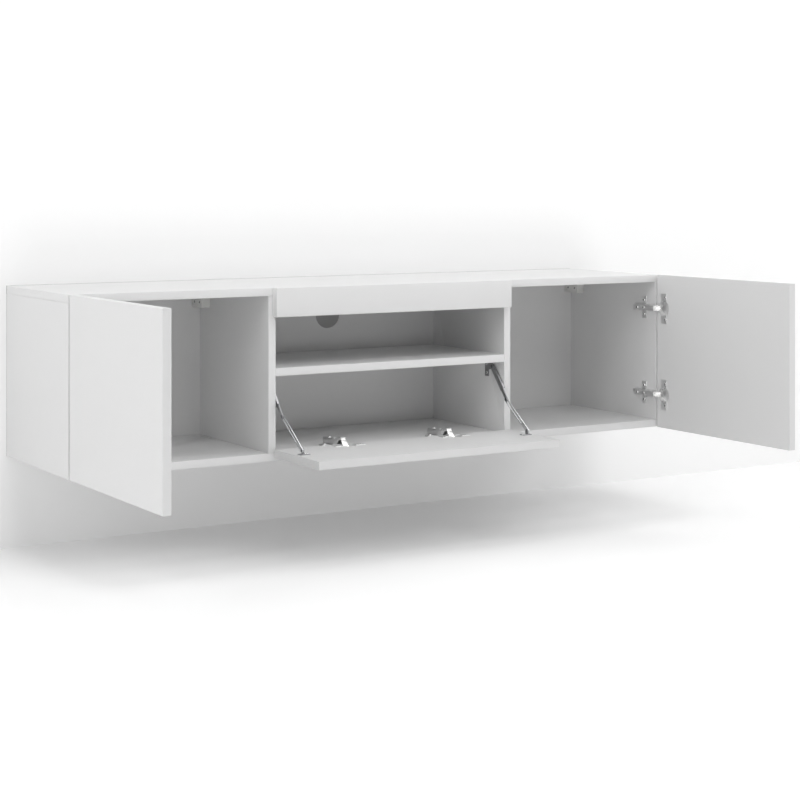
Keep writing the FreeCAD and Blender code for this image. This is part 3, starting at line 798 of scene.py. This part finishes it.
@dataclass
class EasedParts:
    """Pressed and moulded parts of the console."""

    arm_radius: float = 0.0004
    plate_radius: float = 0.0006
    stay_radius: float = 0.0003
    case_radius: float = 0.0011

    def build(self, bench: Bench) -> None:
        """Eases hinge arms, mounting plates, stay parts and hanger cases.

        Args:
            bench: Where they are made.
        """
        finishes = bench.finishes
        for node in bench.nodes:
            if node.endswith("_hanger"):
                EasedPart(node, self.case_radius, "hanger_plastic").build(bench, finishes.case)
            elif node.endswith("_hinge_plates"):
                EasedPart(node, self.plate_radius, "hinge_steel").build(bench, finishes.hinge)
            elif node.endswith("_stay_lower_arm"):
                EasedPart(node, self.stay_radius, "stay_steel").build(bench, finishes.stay)
            elif "_stay_" in node:
                EasedPart(node, self.stay_radius, "stay_steel").build(bench, finishes.stay_dull)
            elif node.endswith("_arm"):
                EasedPart(node, self.arm_radius, "hinge_steel").build(bench, finishes.hinge)


# ------------------------------------------------------------------ fasteners


class HeadForm(Enum):
    """Roundness of a head: a high number is flat on top with tight shoulders."""

    DOME = 2.0
    PAN = 3.2
    CHEESE = 7.0


@dataclass(frozen=True)
class Fastener:
    """Screw or rivet head with a short shank, pointing up from the origin."""

    radius: float
    height: float
    form: HeadForm = HeadForm.PAN
    recess: float = 0.0
    recess_depth: float = 0.0
    shank_radius: float = 0.0
    shank_length: float = 0.0
    crown_share: float = 0.15
    rim_share: float = 0.54
    blade_share: float = 0.30
    floor_share: float = 0.55
    rings: int = 5
    steps: int = 28

    def profile(self) -> list[tuple[float, float]]:
        """Outline to turn, from the shank's end to the top of the head.

        Returns:
            Radius and height of every ring.
        """
        points = []
        if self.shank_length:
            points += [(self.shank_radius, -self.shank_length), (self.shank_radius, 0.0)]
        flat = max(self.recess * self.rim_share, self.radius * self.crown_share)
        power = 2 / self.form.value
        for ring in range(self.rings + 1):
            angle = QUARTER_TURN * ring / self.rings
            shrink, rise = max(math.cos(angle), 0.0) ** power, math.sin(angle) ** power
            points.append((flat + (self.radius - flat) * shrink, self.height * rise))
        return points

    def cross_corners(self, level: float, share: float) -> list[Vector]:
        """Corners of the cross recess at one height.

        Args:
            level: The height.
            share: Share of the cross's full size.

        Returns:
            Its twelve corners in order.
        """
        tip, root = self.recess / 2 * share, self.recess / 2 * self.blade_share * share
        quarter = [Vector((tip, -root, level)), Vector((tip, root, level)), Vector((root, root, level))]
        turns = [Matrix.Rotation(QUARTER_TURN * side, 3, "Z") for side in range(4)]
        return [turn @ corner for turn in turns for corner in quarter]

    def sink_cross(self, head: bmesh.types.BMesh) -> None:
        """Opens a cross recess in the flat of the head, and paints its inside near black as painted shade.

        Args:
            head: The head to change.
        """
        cap = max(head.faces, key=lambda face: face.calc_center_median().z)
        rim = cap.edges[:]
        bmesh.ops.delete(head, geom=[cap], context="FACES_ONLY")
        upper, lower = ([head.verts.new(corner) for corner in self.cross_corners(level, share)]
                        for level, share in ((self.height, 1.0),
                                             (self.height - self.recess_depth, self.floor_share)))
        sides = [(i, (i + 1) % len(upper)) for i in range(len(upper))]
        mouth = [head.edges.new((upper[i], upper[j])) for i, j in sides]
        bmesh.ops.triangle_fill(head, use_beauty=True, use_dissolve=False, edges=rim + mouth)
        inside = [head.faces.new((upper[i], upper[j], lower[j], lower[i])) for i, j in sides]
        inside.append(head.faces.new(lower))
        for face in inside:
            face.material_index = PAINTED_SHADE_INDEX
        bmesh.ops.recalc_face_normals(head, faces=head.faces)

    def solid(self) -> bmesh.types.BMesh:
        """Makes the fastener at the origin.

        Returns:
            Its mesh.
        """
        head = turned(self.profile(), self.steps)
        if self.recess:
            self.sink_cross(head)
        return head

    def row(self, seats: Iterable[Seat]) -> bmesh.types.BMesh:
        """Puts one such fastener on every seat.

        Args:
            seats: The seats.

        Returns:
            All of them in one mesh.
        """
        pattern = self.solid()
        copies = []
        for seat in seats:
            copy = pattern.copy()
            bmesh.ops.transform(copy, matrix=seat.matrix(), verts=copy.verts)
            copies.append(copy)
        pattern.free()
        return gathered(copies)


# ------------------------------------------------------------------ hinges


@dataclass(frozen=True)
class LinkSize:
    """Lengths of a hinge link, which depend on how the front laps over the board's edge."""

    span: float
    lean_degrees: float


class LinkKind(Enum):
    """Links of the two kinds of hinge: pin to pin, and the lean from the inward way to the front."""

    DOOR = LinkSize(0.01713, 25.6)
    FLAP = LinkSize(0.01921, 41.8)


@dataclass
class HingeLink:
    """Pressed link: a narrow eye inside the arm's nose and a wide tongue that reaches into the cup."""

    name: str
    kind: LinkKind
    inward: Vector
    axis: Vector
    eye_half: float = 0.0049
    tongue_half: float = 0.0061
    shoulder: float = 0.0047
    half_thick: float = 0.0013
    eye_radius: float = 0.0018
    eye_start_degrees: float = 50.0
    eye_sweep_degrees: float = 260.0
    eye_steps: int = 8
    soft: float = 0.0004
    segments: int = 2

    def strip_profile(self, start: float, end: float) -> list[tuple[float, float]]:
        """Outline of a strip seen from its side.

        Args:
            start: Where it starts along the link.
            end: Where it ends.

        Returns:
            Distances along and across the link.
        """
        half = self.half_thick
        return [(start, -half), (end, -half), (end, half), (start, half)]

    def eye_profile(self) -> list[tuple[float, float]]:
        """Outline of the eye: a round back that runs on into the strip.

        Returns:
            Distances along and across the link.
        """
        start, sweep = math.radians(self.eye_start_degrees), math.radians(self.eye_sweep_degrees)
        turns = [start + sweep * step / self.eye_steps for step in range(self.eye_steps + 1)]
        back = [(self.eye_radius * math.cos(turn), self.eye_radius * math.sin(turn)) for turn in turns]
        return [*back, (self.shoulder, -self.half_thick), (self.shoulder, self.half_thick)]

    def prism(self, outline: Sequence[tuple[float, float]], half_width: float) -> bmesh.types.BMesh:
        """Solid with an outline, as wide along the hinge's axis on both sides of its pin.

        Args:
            outline: Distances along and across the link.
            half_width: How far it reaches to each side.

        Returns:
            The solid, in place.
        """
        pin = joint_place(f"{self.name}_link_turn")
        lean = math.radians(self.kind.value.lean_degrees)
        along = self.inward * -math.cos(lean) - WALLWARD * math.sin(lean)
        across = self.inward * math.sin(lean) - WALLWARD * math.cos(lean)
        solid = bmesh.new()
        near, far = ([solid.verts.new(pin + along * t + across * p + self.axis * side * half_width)
                      for t, p in outline] for side in ENDS)
        solid.faces.new(near)
        solid.faces.new(far[::-1])
        for i in range(len(outline)):
            j = (i + 1) % len(outline)
            solid.faces.new((near[i], far[i], far[j], near[j]))
        bmesh.ops.recalc_face_normals(solid, faces=solid.faces)
        return solid

    def build(self, bench: Bench) -> None:
        """Makes the link in place of its node.

        Args:
            bench: Where it is made.
        """
        node = f"{self.name}_link"
        tip = self.kind.value.span + self.half_thick
        tongue = self.prism(self.strip_profile(self.shoulder, tip), self.tongue_half)
        ease(tongue, tongue.edges[:], self.soft, self.segments)
        eye = self.prism(self.eye_profile(), self.eye_half)
        bench.piece(f"{node}_tongue", gathered((eye, tongue)), bench.finishes.link, bench.body_of(node),
                    "hinge_steel", (node,))


@dataclass
class HingeFittings:
    """Screws of one concealed hinge."""

    name: str
    front: str
    inward: Vector
    axis: Vector
    plate_setback: float = 0.037
    plate_pitch: float = 0.032
    arm_rise: float = 0.0123
    adjuster_setback: float = 0.024
    clamp_setback: float = 0.047
    cup_screw_pitch: float = 0.048
    cup_screw_shift: float = 0.006
    plate_screw_turn: float = 0.4
    cup_screw_turn: float = 0.7
    arm_screw_twist: float = 40.0
    plate_screw: Fastener = Fastener(0.0036, 0.0018, HeadForm.PAN, 0.0042, 0.0013)
    cup_screw: Fastener = Fastener(0.0033, 0.0007, HeadForm.DOME, 0.0038, 0.0006)
    arm_screw: Fastener = Fastener(0.0031, 0.0011, HeadForm.CHEESE, 0.0042, 0.0010)

    def pair(self, inward: float, depth: float, pitch: float, turn: float) -> list[Seat]:
        """Two seats either side of the hinge's middle.

        Args:
            inward: Their distance inward.
            depth: Their distance toward the wall.
            pitch: Distance from one to the other.
            turn: Turn of their screws, opposite ways.

        Returns:
            The seats.
        """
        return [Seat(self.at(inward, depth, side * pitch / 2), self.inward, turn * side) for side in ENDS]

    def at(self, inward: float, depth: float, along: float = 0.0) -> Vector:
        """Point on this hinge.

        Args:
            inward: Its distance inward.
            depth: Its distance toward the wall.
            along: Its distance along the hinge's axis from the hinge's middle.

        Returns:
            The point.
        """
        centre = middle(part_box(f"{self.name}_arm")).dot(self.axis)
        return self.inward * inward + WALLWARD * depth + self.axis * (centre + along)

    def screws(self, bench: Bench, part: str, kind: Fastener, seats: Iterable[Seat], body: str) -> None:
        """Makes the screws of one part of the hinge.

        Args:
            bench: Where they are made.
            part: Plate, arm or cup, for their name.
            kind: The screw.
            seats: One seat for each screw.
            body: Body that they ride on.
        """
        bench.piece(f"{self.name}_{part}_screws", kind.row(seats), bench.finishes.screw, body, "hinge_steel")

    def build(self, bench: Bench) -> None:
        """Makes the screws of the plate, the arm and the cup.

        Args:
            bench: Where they are made.
        """
        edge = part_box("bottom_panel")[0].y
        plates, cups = (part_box(f"{self.front}_hinge_{part}") for part in ("plates", "cups"))
        arm = f"{self.name}_arm"
        arm_body = bench.body_of(arm)
        plate_seats = self.pair(reach(plates, self.inward), edge + self.plate_setback, self.plate_pitch,
                                self.plate_screw_turn)
        self.screws(bench, "plate", self.plate_screw, plate_seats, arm_body)
        top = self.arm_rise - reach(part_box(arm), -self.inward)
        arm_seats = [Seat(self.at(top, edge + setback), self.inward, setback * self.arm_screw_twist)
                     for setback in (self.adjuster_setback, self.clamp_setback)]
        self.screws(bench, "arm", self.arm_screw, arm_seats, arm_body)
        cup_seats = self.pair(reach(cups, self.inward), middle(cups).y - self.cup_screw_shift,
                              self.cup_screw_pitch, self.cup_screw_turn)
        self.screws(bench, "cup", self.cup_screw, cup_seats, self.front)


@dataclass
class Hinges:
    """The six concealed hinges."""

    door_hinges: tuple[str, ...] = ("upper", "lower")

    def build(self, bench: Bench) -> None:
        """Makes the screws and the link of every hinge.

        Args:
            bench: Where they are made.
        """
        for hand in Hand:
            inward = RIGHTWARD * -hand.value
            for which in self.door_hinges:
                name = f"{hand.word}_door_{which}"
                HingeFittings(name, f"{hand.word}_door", inward, UPWARD).build(bench)
                HingeLink(name, LinkKind.DOOR, inward, UPWARD).build(bench)
            HingeFittings(f"flap_{hand.word}", "flap", UPWARD, RIGHTWARD).build(bench)
            HingeLink(f"flap_{hand.word}", LinkKind.FLAP, UPWARD, RIGHTWARD).build(bench)


# ------------------------------------------------------------------ stays


@dataclass
class StayFittings:
    """Rivets and screws of one folding stay."""

    hand: Hand
    arm_length: float = 0.085
    arm_drop_degrees: float = 50.0
    pivot_face: float = 0.00572
    web_back: float = 0.0042
    slot_face: float = 0.00775
    pin_face: float = 0.0061
    ear_face: float = 0.0097
    sheet: float = 0.0015
    base_width: float = 0.014
    base_margin: float = 0.0075
    foot_screw_gaps: tuple[float, float] = (0.0138, 0.0190)
    base_screw_twist: float = 9.0
    foot_screw_twist: float = 90.0
    rivet: Fastener = Fastener(0.0037, 0.0010, HeadForm.DOME)
    pivot_head: Fastener = Fastener(0.0035, 0.00036, HeadForm.CHEESE)
    pin_head: Fastener = Fastener(0.0030, 0.0008, HeadForm.DOME)
    base_screw: Fastener = Fastener(0.0032, 0.0014, HeadForm.PAN, 0.0036, 0.0010)
    foot_screw: Fastener = Fastener(0.0024, 0.0011, HeadForm.PAN, 0.0028, 0.0008)

    @property
    def inward(self) -> Vector:
        """Way from the divider to the console's middle."""
        return RIGHTWARD * -self.hand.value

    def at(self, gap: float, y: float, z: float) -> Vector:
        """Point beside the divider.

        Args:
            gap: Its distance from the divider's inner face.
            y: Its Y.
            z: Its Z.

        Returns:
            The point.
        """
        face = reach(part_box(f"{self.hand.word}_divider"), self.inward)
        return self.inward * (face + gap) + Vector((0, y, z))

    def facing(self, gaps: tuple[float, float], place: Vector) -> list[Seat]:
        """Two seats back to back, for a rivet's two heads.

        Args:
            gaps: Distance of the inner and the outer head from the divider's inner face.
            place: Point on the rivet's axis.

        Returns:
            The seats.
        """
        return [Seat(self.at(gap, place.y, place.z), self.inward * way) for gap, way in zip(gaps, (1, -1))]

    def heads(self, bench: Bench, piece: str, kind: Fastener, part: str, seats: Iterable[Seat],
              finish: bpy.types.Material) -> None:
        """Makes one kind of head.

        Args:
            bench: Where they are made.
            piece: What they are, for their name.
            kind: The head.
            part: Part of the stay that they ride with.
            seats: One seat for each head.
            finish: Their material.
        """
        stay = f"{self.hand.word}_stay"
        bench.piece(f"{stay}_{piece}", kind.row(seats), finish, bench.body_of(f"{stay}_{part}"), "stay_steel")

    def build(self, bench: Bench) -> None:
        """Makes the rivets and the screws.

        Args:
            bench: Where they are made.
        """
        dark, bright = bench.finishes.stay_dark, bench.finishes.screw
        stay = f"{self.hand.word}_stay"
        pivot, pin = (joint_place(f"{stay}_{end}_turn") for end in ("upper", "lower"))
        drop = math.radians(self.arm_drop_degrees)
        rivet = pivot - (WALLWARD * math.cos(drop) + UPWARD * math.sin(drop)) * self.arm_length
        pivot_seat = Seat(self.at(self.pivot_face, pivot.y, pivot.z), self.inward)
        self.heads(bench, "pivot_head", self.pivot_head, "upper_arm", [pivot_seat], dark)
        self.heads(bench, "rivet", self.rivet, "upper_arm",
                   self.facing((self.slot_face, self.web_back), rivet), dark)
        self.heads(bench, "foot_pin", self.pin_head, "foot",
                   self.facing((self.ear_face, self.pin_face), pin), dark)
        base, foot = (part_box(f"{stay}_{part}") for part in ("bracket", "foot"))
        column = base[1].y - self.base_width / 2
        base_seats = [Seat(self.at(self.sheet, column, row), self.inward, row * self.base_screw_twist)
                      for row in (base[0].z + self.base_margin, base[1].z - self.base_margin)]
        self.heads(bench, "bracket_screws", self.base_screw, "bracket", base_seats, bright)
        foot_seats = [Seat(self.at(gap, pin.y, foot[0].z + self.sheet), UPWARD, gap * self.foot_screw_twist)
                      for gap in self.foot_screw_gaps]
        self.heads(bench, "foot_screws", self.foot_screw, "foot", foot_seats, bright)


# ------------------------------------------------------------------ hangers


@dataclass
class HangerFittings:
    """Adjusting screws of one cabinet hanger and the wall screws behind it."""

    place: str
    inward: Vector
    side_setbacks: tuple[float, float] = (0.009, 0.034)
    side_height: float = 0.0115
    drive_drop: float = 0.016
    drive_depth: float = 0.004
    plate_centre: float = 0.023
    hole_pitch: float = 0.024
    hole_height: float = 0.018
    wall_sheet: float = 0.002
    side_screw_turn: float = 0.4
    drive_screw_turn: float = 0.3
    side_screw: Fastener = Fastener(0.0032, 0.0008, HeadForm.CHEESE, 0.0048, 0.0007)
    drive_screw: Fastener = Fastener(0.0020, 0.0012, HeadForm.CHEESE, 0.0030, 0.0010)
    wall_screw: Fastener = Fastener(0.0046, 0.0024, HeadForm.PAN, 0.0052, 0.0017, 0.0024, 0.0018)

    def case_screws(self, box: Box) -> bmesh.types.BMesh:
        """Makes the two screws in the case's side and the one in its front.

        Args:
            box: The case's lowest and highest corner.

        Returns:
            The screws in one mesh.
        """
        low, high = box
        face = self.inward * reach(box, self.inward)
        side = [Seat(face + Vector((0, low.y + setback, low.z + self.side_height)), self.inward,
                     self.side_screw_turn) for setback in self.side_setbacks]
        drive = Vector((middle(box).x, low.y + self.drive_depth, high.z - self.drive_drop))
        front = [Seat(drive, -WALLWARD, self.drive_screw_turn)]
        return gathered((self.side_screw.row(side), self.drive_screw.row(front)))

    def wall_screws(self, box: Box) -> bmesh.types.BMesh:
        """Makes the two screws that hold the wall plate behind the case.

        Args:
            box: The case's lowest and highest corner.

        Returns:
            The screws in one mesh.
        """
        centre = self.plate_centre - reach(box, -self.inward)
        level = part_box("wall_plates")[0].z + self.hole_height
        holes = [self.inward * (centre + end * self.hole_pitch / 2) + Vector((0, -self.wall_sheet, level))
                 for end in ENDS]
        return self.wall_screw.row([Seat(hole, -WALLWARD) for hole in holes])

    def build(self, bench: Bench) -> None:
        """Makes the screws.

        Args:
            bench: Where they are made.
        """
        node = f"{self.place}_hanger"
        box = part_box(node)
        body = bench.body_of(node)
        for name, screws in (("hanger", self.case_screws(box)), ("wall", self.wall_screws(box))):
            bench.piece(f"{self.place}_{name}_screws", screws, bench.finishes.screw, body, "hook_steel")


@dataclass
class Hangers:
    """Screws of the four cabinet hangers, by their place and their way inward."""

    ways: dict[str, int] = field(default_factory=lambda: {
        "left_side": 1, "left_divider": -1, "right_divider": 1, "right_side": -1})

    def build(self, bench: Bench) -> None:
        """Makes the screws of every hanger.

        Args:
            bench: Where they are made.
        """
        for place, way in self.ways.items():
            HangerFittings(place, RIGHTWARD * way).build(bench)


# ------------------------------------------------------------------ carried parts


class CarriedParts:
    """Parts that keep their own solid and only take a finish."""

    def __init__(self, bench: Bench) -> None:
        """Takes the nodes and the finishes from the bench.

        Args:
            bench: The bench.
        """
        self.nodes = bench.nodes
        self.plain = bench.finishes.board
        self.others = {
            "_back": bench.finishes.back,
            "_hinge_cups": bench.finishes.cup,
            "hanger_hooks": bench.finishes.hook,
            "wall_plates": bench.finishes.hook,
            "dowels": bench.finishes.dowel}

    def finish_of(self, name: str) -> bpy.types.Material:
        """Finish that a node takes: that of a board, unless the end of its name is one of the others.

        Args:
            name: Name of the node.

        Returns:
            Its material.
        """
        return next((finish for end, finish in self.others.items() if name.endswith(end)), self.plain)

    def dress(self) -> None:
        """Gives every node a finish, also those that are replaced and never shown."""
        for name, node in self.nodes.items():
            finish = self.finish_of(name)
            node.data.materials.clear()
            node.data.materials.append(finish)
            LOG.info("%s takes %s", name, finish.name)


# ------------------------------------------------------------------ stage, light and camera


@dataclass
class Stage:
    """Wall and floor, seen from their front only, that keep the console's shadow, and whose white glow is
    weaker near the console as painted shade.

    Behind the console the wall lets light through, so that the console's back isn't in the dark, and it is
    painted dark grey there as painted shade, where it shows through the cable hole.
    """

    wall_y: float = 0.0006
    floor_z: float = -0.185
    reach: float = 9.0
    albedo: float = 0.8
    # Grey of the wall behind the console: painted shade.
    dim: float = 0.36
    # The glow is weaker near the console than far away: painted shade round it.
    near_lift: float = 0.168
    far_lift: float = 0.272
    near: float = 0.05
    far: float = 0.18
    open_start: float = 1.5
    open_end: float = 4.0
    open_lift: float = 0.8
    # Box round the console; the glow is weaker near it, as painted shade.
    shaded: tuple[Place, Place] = ((-0.60, -0.35, -0.20), (0.65, 0.05, 0.34))
    # Region behind the console, where the wall passes light and is painted dark grey as painted shade.
    hidden: tuple[Place, Place] = ((-0.7002, -0.05, -0.0002), (0.7002, 0.05, 0.3402))

    def outside(self, board: NodeBoard, box: tuple[Place, Place]) -> bpy.types.NodeSocket:
        """Distance of a surface point from a box, 0 inside it.

        Args:
            board: Node tree to add to.
            box: Lowest and highest corner.

        Returns:
            The distance in metres.
        """
        low, high = (Vector(corner) for corner in box)
        aside = board.vector("SUBTRACT", board.object_coords(), tuple((low + high) / 2))
        folded = board.vector("ABSOLUTE", aside.outputs[0])
        over = board.vector("SUBTRACT", folded.outputs[0], tuple((high - low) / 2))
        above = board.vector("MAXIMUM", over.outputs[0])
        return board.vector("LENGTH", above.outputs[0]).outputs["Value"]

    def lift(self, board: NodeBoard) -> bpy.types.NodeSocket:
        """Whitening glow of the backdrop: little near the console, which leaves a painted shade round it, and
        full far away.

        Args:
            board: Node tree to add to.

        Returns:
            The strength of its glow.
        """
        away = self.outside(board, self.shaded)
        nearby = board.eased_range(away, (self.near, self.near_lift), (self.far, self.far_lift))
        distant = board.eased_range(away, (self.open_start, 0.0), (self.open_end, self.open_lift))
        return board.number("ADD", nearby, distant)

    def backdrop_material(self) -> bpy.types.Material:
        """Pale wall paint whose glow turns it white away from the console and is weaker near it as painted
        shade; painted dark grey behind the console as painted shade; clear from behind.

        Returns:
            The material.
        """
        material = bpy.data.materials.new("backdrop")
        board = NodeBoard.of(material)
        beside = board.number("GREATER_THAN", self.outside(board, self.hidden), 0.0)
        # Behind the console the paint is dark grey: painted shade for the wall seen through the cable hole.
        paint = board.add("ShaderNodeBsdfDiffuse", {
            "Color": board.tint(beside, grey(self.dim), grey(self.albedo))})
        # Glow seen by camera and glossy rays; weaker near the console, as painted shade round it.
        glowing = board.number("MULTIPLY", board.rays("Camera", "Glossy", "Transmission"), beside)
        strength = board.number("MULTIPLY", glowing, self.lift(board))
        glow = board.add("ShaderNodeEmission", {"Strength": strength})
        lit = board.add("ShaderNodeAddShader", {0: paint.outputs[0], 1: glow.outputs[0]})
        behind = board.number("SUBTRACT", 1.0, beside)
        passing = board.number("MULTIPLY", board.rays("Shadow", "Diffuse"), behind)
        rear_side = board.add("ShaderNodeNewGeometry").outputs["Backfacing"]
        clear = board.add("ShaderNodeBsdfTransparent")
        board.close(board.mixed(board.total(rear_side, passing), lit, clear))
        return material

    def sheet(self, name: str, corners: Sequence[Place]) -> bpy.types.Object:
        """Flat sheet that faces the way its corners turn.

        Args:
            name: Name of the object.
            corners: Four corners, anticlockwise as seen from the front.

        Returns:
            The new object.
        """
        mesh = bpy.data.meshes.new(name)
        mesh.from_pydata(corners, [], [range(len(corners))])
        return placed(name, mesh)

    def build(self) -> None:
        """Makes the wall and the floor."""
        far, y, z = self.reach, self.wall_y, self.floor_z
        wall = self.sheet("wall", [(-far, y, z), (far, y, z), (far, y, far), (-far, y, far)])
        floor = self.sheet("floor", [(-far, -far, z), (far, -far, z), (far, y, z), (-far, y, z)])
        material = self.backdrop_material()
        for sheet in (wall, floor):
            sheet.data.materials.append(material)


@dataclass(frozen=True)
class SoftBox:
    """One large soft lamp that looks at the console."""

    name: str
    place: Place
    size: tuple[float, float]
    power: float
    target: Place = (0.0, -0.3, 0.1)

    def build(self) -> None:
        """Makes the lamp."""
        data = bpy.data.lights.new(self.name, "AREA")
        data.shape = "RECTANGLE"
        data.size, data.size_y = self.size
        data.energy = self.power
        lamp = placed(self.name, data)
        lamp.location = self.place
        aim = Vector(self.target) - Vector(self.place)
        lamp.rotation_euler = aim.to_track_quat("-Z", "Y").to_euler()


@dataclass
class Studio:
    """Soft lamps and a pale surrounding."""

    surround_grey: float = 0.8
    surround_strength: float = 0.15
    lamps: tuple[SoftBox, ...] = (
        SoftBox("overhead_front", (0.0, -3.0, 3.0), (3.0, 2.0), 40.4),
        SoftBox("overhead_rear", (0.0, -0.5, 3.5), (6.0, 2.0), 44.2),
        SoftBox("left_high", (-3.5, -1.5, 2.2), (2.0, 2.0), 29.5),
        SoftBox("left_low", (-4.0, -1.5, 0.5), (2.0, 1.2), 22.0),
        SoftBox("right_high", (3.5, -2.0, 2.2), (2.0, 2.0), 53.5),
        SoftBox("low_strip", (0.0, -4.0, 0.02), (5.0, 0.35), 16.1),
        SoftBox("behind", (0.0, 3.2, -0.5), (4.0, 1.6), 38.0, (0.0, 0.0, 0.17)),
    )

    def build(self) -> None:
        """Makes the lamps and the surrounding, which shows white and lights the console softly."""
        for lamp in self.lamps:
            lamp.build()
        world = bpy.data.worlds.new("surround")
        bpy.context.scene.world = world
        board = NodeBoard.of(world)
        lighting = board.add("ShaderNodeBackground", {
            "Color": (*grey(self.surround_grey), 1), "Strength": self.surround_strength})
        showing = board.add("ShaderNodeBackground", {"Color": (1, 1, 1, 1)})
        shown = board.rays("Camera", "Glossy", "Transmission")
        board.close(board.mixed(shown, lighting, showing), "ShaderNodeOutputWorld")
        bpy.context.scene.view_settings.view_transform = "Standard"


@dataclass
class Viewpoint:
    """Level camera with a downward shift."""

    place: Place = (-1.8893, -3.4566, 0.5438)
    yaw_degrees: float = 31.404
    lens: float = 80.397
    film_width: float = 36.0
    shift_down: float = 0.2703

    def build(self) -> None:
        """Makes the camera and sets it as the scene's own."""
        data = bpy.data.cameras.new("viewpoint")
        data.lens = self.lens
        data.sensor_width = self.film_width
        data.shift_y = -self.shift_down
        camera = placed("viewpoint", data)
        camera.location = self.place
        camera.rotation_euler = (QUARTER_TURN, 0.0, -math.radians(self.yaw_degrees))
        bpy.context.scene.camera = camera


# ------------------------------------------------------------------ making


def main() -> None:
    """Builds every sub-assembly in order."""
    logging.basicConfig(level=logging.INFO, format="%(name)s: %(message)s")
    bench = Bench(frame["nodes"], Finishes())
    CarriedParts(bench).dress()
    Carcass().build(bench)
    EasedParts().build(bench)
    Hinges().build(bench)
    for hand in Hand:
        StayFittings(hand).build(bench)
    Hangers().build(bench)
    Stage().build()
    Studio().build()
    Viewpoint().build()


if __name__ == "__main__":
    main()
